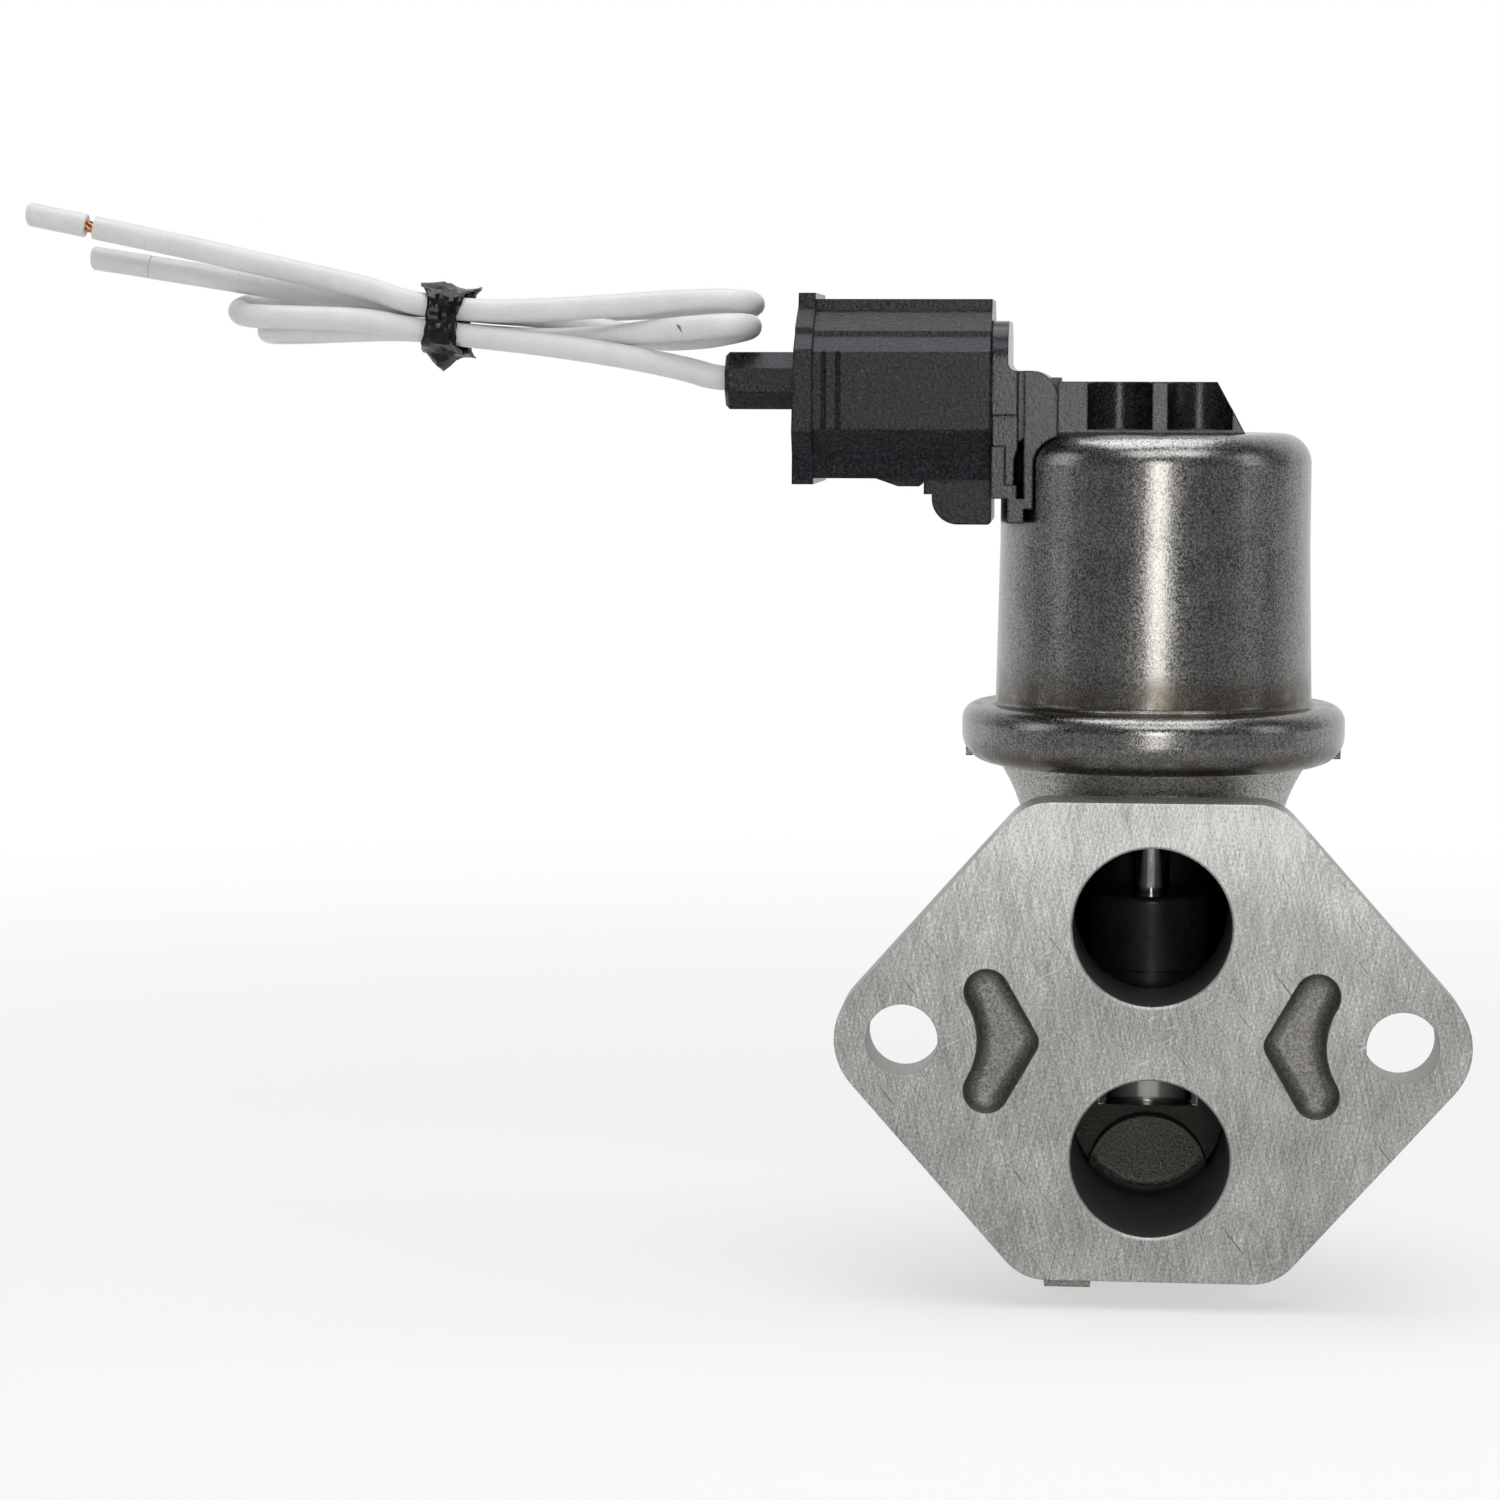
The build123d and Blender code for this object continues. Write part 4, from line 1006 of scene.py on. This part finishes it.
    def twisted_core(self, base: Matrix, length: float) -> Mesh:
        """Bare copper strands twisted round a middle one.

        Args:
            base: Frame at its start, with Z along it.
            length: Length in mm.

        Returns:
            The mesh.
        """
        shape = bmesh.new()
        for strand in range(self.outer_strands + 1):
            lay = self.strand_radius * 2.0 if strand else 0.0
            rings = []
            for step in range(self.strand_steps + 1):
                share = step / self.strand_steps
                angle = math.tau * (strand / self.outer_strands + self.strand_twist * share)
                middle = on_circle(angle) * lay + Vector((0.0, 0.0, share * length))
                wave = self.strand_wave * noise.noise(Vector((strand, step * 0.7, 0.3)))
                radius = self.strand_radius * (1.0 + wave)
                rings.append([
                    shape.verts.new(base @ ((middle + on_circle(side) * radius) * MM))
                    for side in round_angles(self.strand_sides)
                ])
            skin_rings(shape, rings)
        return mesh_from(shape)

    def build(self) -> None:
        """Makes the wires, their cut ends and the tie."""
        tower = Vector(self.tower_end) * MM
        for run in self.runs():
            points = run.points(tower)
            jacket = make_piece(
                run.name + "_jacket", self.curve(points), [self.jacket], run.name
            )
            turn = (points[-1] - points[-2]).to_track_quat("Z", "Y").to_matrix().to_4x4()
            base = Matrix.Translation(points[-1]) @ turn
            first, on_wire = run.name == "wire_1", []
            if first:
                core, node = self.twisted_core(base, run.bared), run.name + "_strands"
                on_wire.append(make_piece("bared_core", core, [self.copper], node))
            slug = self.slug(base @ Matrix.Translation((0.0, 0.0, run.bared * MM)))
            skins, node = [self.jacket, self.copper], run.name + "_slug"
            on_wire.append(make_piece(run.name + "_end", slug, skins, node))
            if first:
                middle = tower + Vector(self.tie_offset) * MM
                along = Vector((self.tie_half_run, 0.0, -self.tie_drop)).normalized()
                on_wire.append(FilmTie(self.film, middle, along).build())
            self.thickness * MM


@dataclass
class DressedUnit:
    """A sub-assembly: its finishes, each with the CAD nodes that take it."""

    looks: tuple[tuple[Finish, tuple[str, ...]], ...]

    def dress(self) -> None:
        """Gives each of its nodes the finish."""
        for finish, nodes in self.looks:
            material = finish.material()
            for name in nodes:
                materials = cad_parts[name].data.materials
                materials.clear()
                materials.append(material)
                log.info("%s dressed in %s", name, finish.name)


@dataclass
class ValveCasting(DressedUnit):
    """The cast body with its flange and ports."""

    looks: tuple = ((MachinedCasting(), ("valve_body",)),)


@dataclass
class SolenoidUnit(DressedUnit):
    """The can, the plates and the coil inside it."""

    zinc: Finish = TurnedMetal("zinc_plate", ((0.3, 0.295, 0.28), (0.46, 0.455, 0.44)), 0.34)
    bronze: Finish = TurnedMetal(
        "sintered_bronze", ((0.3, 0.19, 0.08), (0.48, 0.32, 0.15)), 0.42, ring=0.3, depth=0.01
    )
    nylon: Finish = Moulded(
        "bobbin_nylon", ((0.44, 0.42, 0.36), (0.56, 0.54, 0.47)), 0.45, grain=0.5, depth=0.01
    )
    rubber: Finish = Moulded(
        "seal_rubber", (even(0.01), (0.024, 0.024, 0.023)), 0.62, grain=0.25, depth=0.02
    )
    looks: tuple = (
        (DrawnSteel(), ("solenoid_can",)),
        (zinc, ("base_plate", "pole_piece", "guide_tube")),
        (bronze, ("guide_bush", "upper_bush")),
        (WoundCopper(), ("coil_winding",)),
        (nylon, ("coil_bobbin",)),
        (rubber, ("rim_seal",)),
    )


@dataclass
class ReturnSpring:
    """Coil spring of the plunger, swept along a helix; in mm."""

    node: str = "return_spring"
    joint: str = "plunger_slide"
    travel: float = 3.0
    turns: int = 5
    coil_radius: float = 2.75
    wire_radius: float = 0.25
    fixed_end: Point = (0.0, 20.6, 51.9)
    steps_per_turn: int = 36
    sides: int = 14
    wire: Finish = TurnedMetal(
        "spring_steel", ((0.34, 0.335, 0.325), (0.5, 0.495, 0.485)), 0.28, ring=0.5
    )

    def mesh(self, start: float, rise: float) -> Mesh:
        """Round wire swept along a helix.

        Args:
            start: Height of the wire's middle at its lower end, in mm.
            rise: Height that the wire climbs, in mm.

        Returns:
            The mesh.
        """
        shape = bmesh.new()
        axis = Vector((*self.fixed_end[:2], start))
        steps = self.turns * self.steps_per_turn
        slope = rise / (math.tau * self.coil_radius * self.turns)
        rings = []
        for step in range(steps + 1):
            out = on_circle(math.tau * step / self.steps_per_turn)
            up = Vector((-out.y, out.x, slope)).normalized().cross(out)
            middle = axis + out * self.coil_radius + Vector((0.0, 0.0, rise * step / steps))
            ring = []
            for angle in round_angles(self.sides):
                offset = (out * math.cos(angle) + up * math.sin(angle)) * self.wire_radius
                ring.append(shape.verts.new((middle + offset) * MM))
            rings.append(ring)
        skin_rings(shape, rings)
        return mesh_from(shape)

    def build(self) -> None:
        """Makes the spring in its CAD node's place."""
        low, high = (corner[2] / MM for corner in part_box(self.node))
        mesh = self.mesh(low + self.wire_radius, high - low - 2.0 * self.wire_radius)
        spring = make_piece("coil_spring", mesh, [self.wire.material()], self.node)
        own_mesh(spring)


@dataclass
class PlungerUnit(DressedUnit):
    """The sliding shaft with its poppet, clip and armature."""

    ground: Finish = TurnedMetal(
        "ground_shaft", ((0.32, 0.32, 0.315), (0.46, 0.46, 0.45)), 0.1, ring=0.05, depth=0.001
    )
    iron: Finish = TurnedMetal(
        "turned_iron", ((0.26, 0.255, 0.245), (0.4, 0.395, 0.385)), 0.36, ring=0.12, depth=0.006
    )
    acetal: Finish = Moulded(
        "poppet_plastic", (even(0.012), even(0.02)), 0.24, grain=2.5, depth=0.002
    )
    looks: tuple = (
        (ground, ("valve_shaft", "shaft_clip")),
        (iron, ("armature",)),
        (acetal, ("valve_poppet",)),
    )


@dataclass
class ConnectorUnit(DressedUnit):
    """The moulded cover with its socket, the plug in it and their contacts."""

    cover: Finish = Moulded(
        "cover_plastic", ((0.001, 0.001, 0.0015), (0.025, 0.025, 0.03)), 0.2,
        grain=0.26, depth=0.028, dust=0.12, edge=0.25, gloss=0.43,
    )
    plug: Finish = Moulded(
        "plug_plastic", ((0.001, 0.001, 0.0015), (0.026, 0.026, 0.032)), 0.24,
        grain=0.3, depth=0.055, dust=0.12, edge=0.3, gloss=0.27,
    )
    rubber: Finish = Moulded(
        "plug_rubber", (even(0.02), (0.05, 0.05, 0.048)), 0.6, grain=0.3, depth=0.02
    )
    tin: Finish = TurnedMetal(
        "tin_plate", ((0.36, 0.356, 0.345), (0.5, 0.495, 0.48)), 0.42, ring=0.6
    )
    looks: tuple = (
        (cover, ("cover_moulding",)),
        (plug, ("plug_housing",)),
        (rubber, ("plug_seal", "wire_seal_1", "wire_seal_2")),
        (tin, ("plug_terminal_1", "plug_terminal_2")),
        (TinWithShadedBend(), ("connector_blade_1", "connector_blade_2")),
    )


@dataclass(frozen=True)
class SoftBox:
    """One area lamp: its place and sizes in metres, its power in watts and its colour."""

    name: str
    spot: Point
    width: float
    height: float
    power: float
    tint: Colour = (1.0, 1.0, 1.0)

    def build(self, aim: Point) -> None:
        """Adds the lamp, turned towards a point.

        Args:
            aim: The point that it faces, in metres.
        """
        data = bpy.data.lights.new(self.name, "AREA")
        data.shape = "RECTANGLE"
        data.size, data.size_y = self.width, self.height
        data.energy = self.power
        data.color = self.tint
        lamp = bpy.data.objects.new(self.name, data)
        bpy.context.scene.collection.objects.link(lamp)
        lamp.location = self.spot
        facing = Vector(aim) - Vector(self.spot)
        lamp.rotation_euler = facing.to_track_quat("-Z", "Y").to_euler()


@dataclass
class Studio:
    """Pale floor, white surroundings and soft lamps; in metres."""

    boxes: tuple[SoftBox, ...] = (
        SoftBox("tall_front_box", (0.027, -0.75, 0.1), 0.13, 0.26, 1.0, (1.0, 0.97, 0.91)),
        SoftBox("upper_front_box", (0.03, -0.17, 0.25), 0.25, 0.12, 0.25),
        SoftBox("overhead_box", (-0.03, 0.05, 0.75), 0.6, 0.55, 3.2),
        SoftBox("left_box", (-0.8, -0.2, 0.3), 0.3, 0.5, 0.6),
        SoftBox("right_box", (0.8, -0.2, 0.3), 0.3, 0.5, 0.5),
    )
    aim: Point = (-0.02, 0.0, 0.03)
    white: Colour = (1.0, 1.0, 1.0)
    fill: float = 0.2
    front: float = 0.13
    front_turn: Span = (0.1, 0.8)
    floor_radius: float = 1.6
    floor_sides: int = 96
    floor_gap: float = 0.0002
    floor_tone: Colour = (0.88, 0.88, 0.88)
    floor_mottle: float = 0.99
    floor_roughness: float = 0.9
    floor_fibre: Grain = Grain(even(2.0), 3.0)
    floor_front: float = 0.45
    floor_front_depth: Span = (-0.1, 0.3)
    paper_middle: Span = (-0.03, 0.02)
    paper_reach: Span = (0.08, 0.4)
    paper_share: float = 0.45

    def rays(self, graph: Graph) -> tuple[Field, Field]:
        """Masks of the rays that show the background.

        Args:
            graph: The tree that wants them.

        Returns:
            1 where it is seen straight, and 1 where it is mirrored or seen through.
        """
        path = graph.add("LightPath").socket.node
        mirrored = Field(graph, path.outputs["Is Glossy Ray"])
        mirrored = mirrored.over(Field(graph, path.outputs["Is Transmission Ray"]))
        return Field(graph, path.outputs["Is Camera Ray"]), mirrored

    def paper(self, low: float) -> Material:
        """Floor paper that fades into the white surroundings.

        Args:
            low: The floor's height.

        Returns:
            The material.
        """
        material, graph = new_graph("floor_paper")
        shaded = tuple(part * self.floor_mottle for part in self.floor_tone)
        tone = graph.blend(graph.grain(self.floor_fibre), shaded, self.floor_tone)
        sockets = {"Base Color": tone, "Roughness": self.floor_roughness}
        paper = graph.add("BsdfPrincipled", None, sockets)
        white = graph.add("Emission")
        dim = graph.add("Emission", None, {"Strength": self.floor_front})
        sockets = {0: graph.here, 1: (*self.paper_middle, low)}
        far = graph.add("VectorMath", {"operation": "DISTANCE"}, sockets, "Value")
        far = far.fade(*self.paper_reach) * self.paper_share + (1.0 - self.paper_share)
        seen, mirrored = self.rays(graph)
        _, depth, _ = graph.axes()
        back = depth.fade(*self.floor_front_depth)
        straight = graph.add("MixShader", None, {0: seen * far, 1: paper, 2: white})
        mirror = graph.add("MixShader", None, {0: back, 1: dim, 2: white})
        mixed = graph.add("MixShader", None, {0: mirrored, 1: straight, 2: mirror})
        graph.add("OutputMaterial", None, {"Surface": mixed})
        return material

    def floor(self) -> None:
        """Lays a round pale floor under the lowest point."""
        low = CAD_BOX[0].z - self.floor_gap
        shape = bmesh.new()
        bmesh.ops.create_circle(
            shape, cap_ends=True, segments=self.floor_sides, radius=self.floor_radius
        )
        bmesh.ops.translate(shape, verts=shape.verts, vec=(0.0, 0.0, low))
        mesh = mesh_from(shape)
        mesh.materials.append(self.paper(low))
        floor = bpy.data.objects.new("studio_floor", mesh)
        bpy.context.scene.collection.objects.link(floor)

    def world(self) -> None:
        """White backdrop with a dimmer room in front, and a soft fill."""
        world = bpy.data.worlds.new("studio")
        world.use_nodes = True
        bpy.context.scene.world = world
        graph = Graph(world.node_tree, "Generated")
        seen, mirrored = self.rays(graph)
        _, depth, _ = graph.axes()
        level = mirrored * (depth.fade(*self.front_turn) - self.fill) + self.fill
        share = seen * (1.0 - level) + level
        dim = graph.add("Background", None, {"Color": self.white, "Strength": self.front})
        white = graph.add("Background", None, {"Color": self.white})
        light = graph.add("MixShader", None, {0: share, 1: dim, 2: white})
        graph.add("OutputWorld", None, {"Surface": light})

    def build(self) -> None:
        """Sets up the floor, the world and the lamps."""
        self.floor()
        self.world()
        for box in self.boxes:
            box.build(self.aim)
        bpy.context.scene.view_settings.view_transform = "Standard"
        log.info("studio with %d lamps", len(self.boxes))


@dataclass
class PhotoCamera:
    """Camera at the photograph's place."""

    spot: Point = (-0.004, -0.385, 0.064)
    turn: Point = (84.6976, -0.1496, 5.2006)
    lens: float = 96.29
    sensor: float = 36.0
    nearest: float = 0.01

    def build(self) -> None:
        """Makes the scene's camera."""
        data = bpy.data.cameras.new("photo_camera")
        data.lens = self.lens
        data.sensor_width = self.sensor
        data.clip_start = self.nearest
        camera = bpy.data.objects.new("photo_camera", data)
        bpy.context.scene.collection.objects.link(camera)
        camera.location = self.spot
        camera.rotation_euler = Euler([math.radians(part) for part in self.turn])
        bpy.context.scene.camera = camera
        log.info("camera at the photograph's place")


def write_sizes() -> None:
    """Updates the view layer.
    """
    bpy.context.view_layer.update()


def main() -> None:
    """Builds the scene in order."""
    logging.basicConfig(level=logging.INFO, format="%(message)s")
    PhotoCamera().build()
    copper = TurnedMetal("bare_copper", ((0.42, 0.17, 0.07), (0.68, 0.34, 0.16)), 0.3, ring=0.4)
    WireHank(Insulation().material(), copper.material(), ShinyFilm().material()).build()
    ValveCasting().dress()
    SolenoidUnit().dress()
    ReturnSpring().build()
    PlungerUnit().dress()
    ConnectorUnit().dress()
    Studio().build()
    write_sizes()


if __name__ == "__main__":
    main()
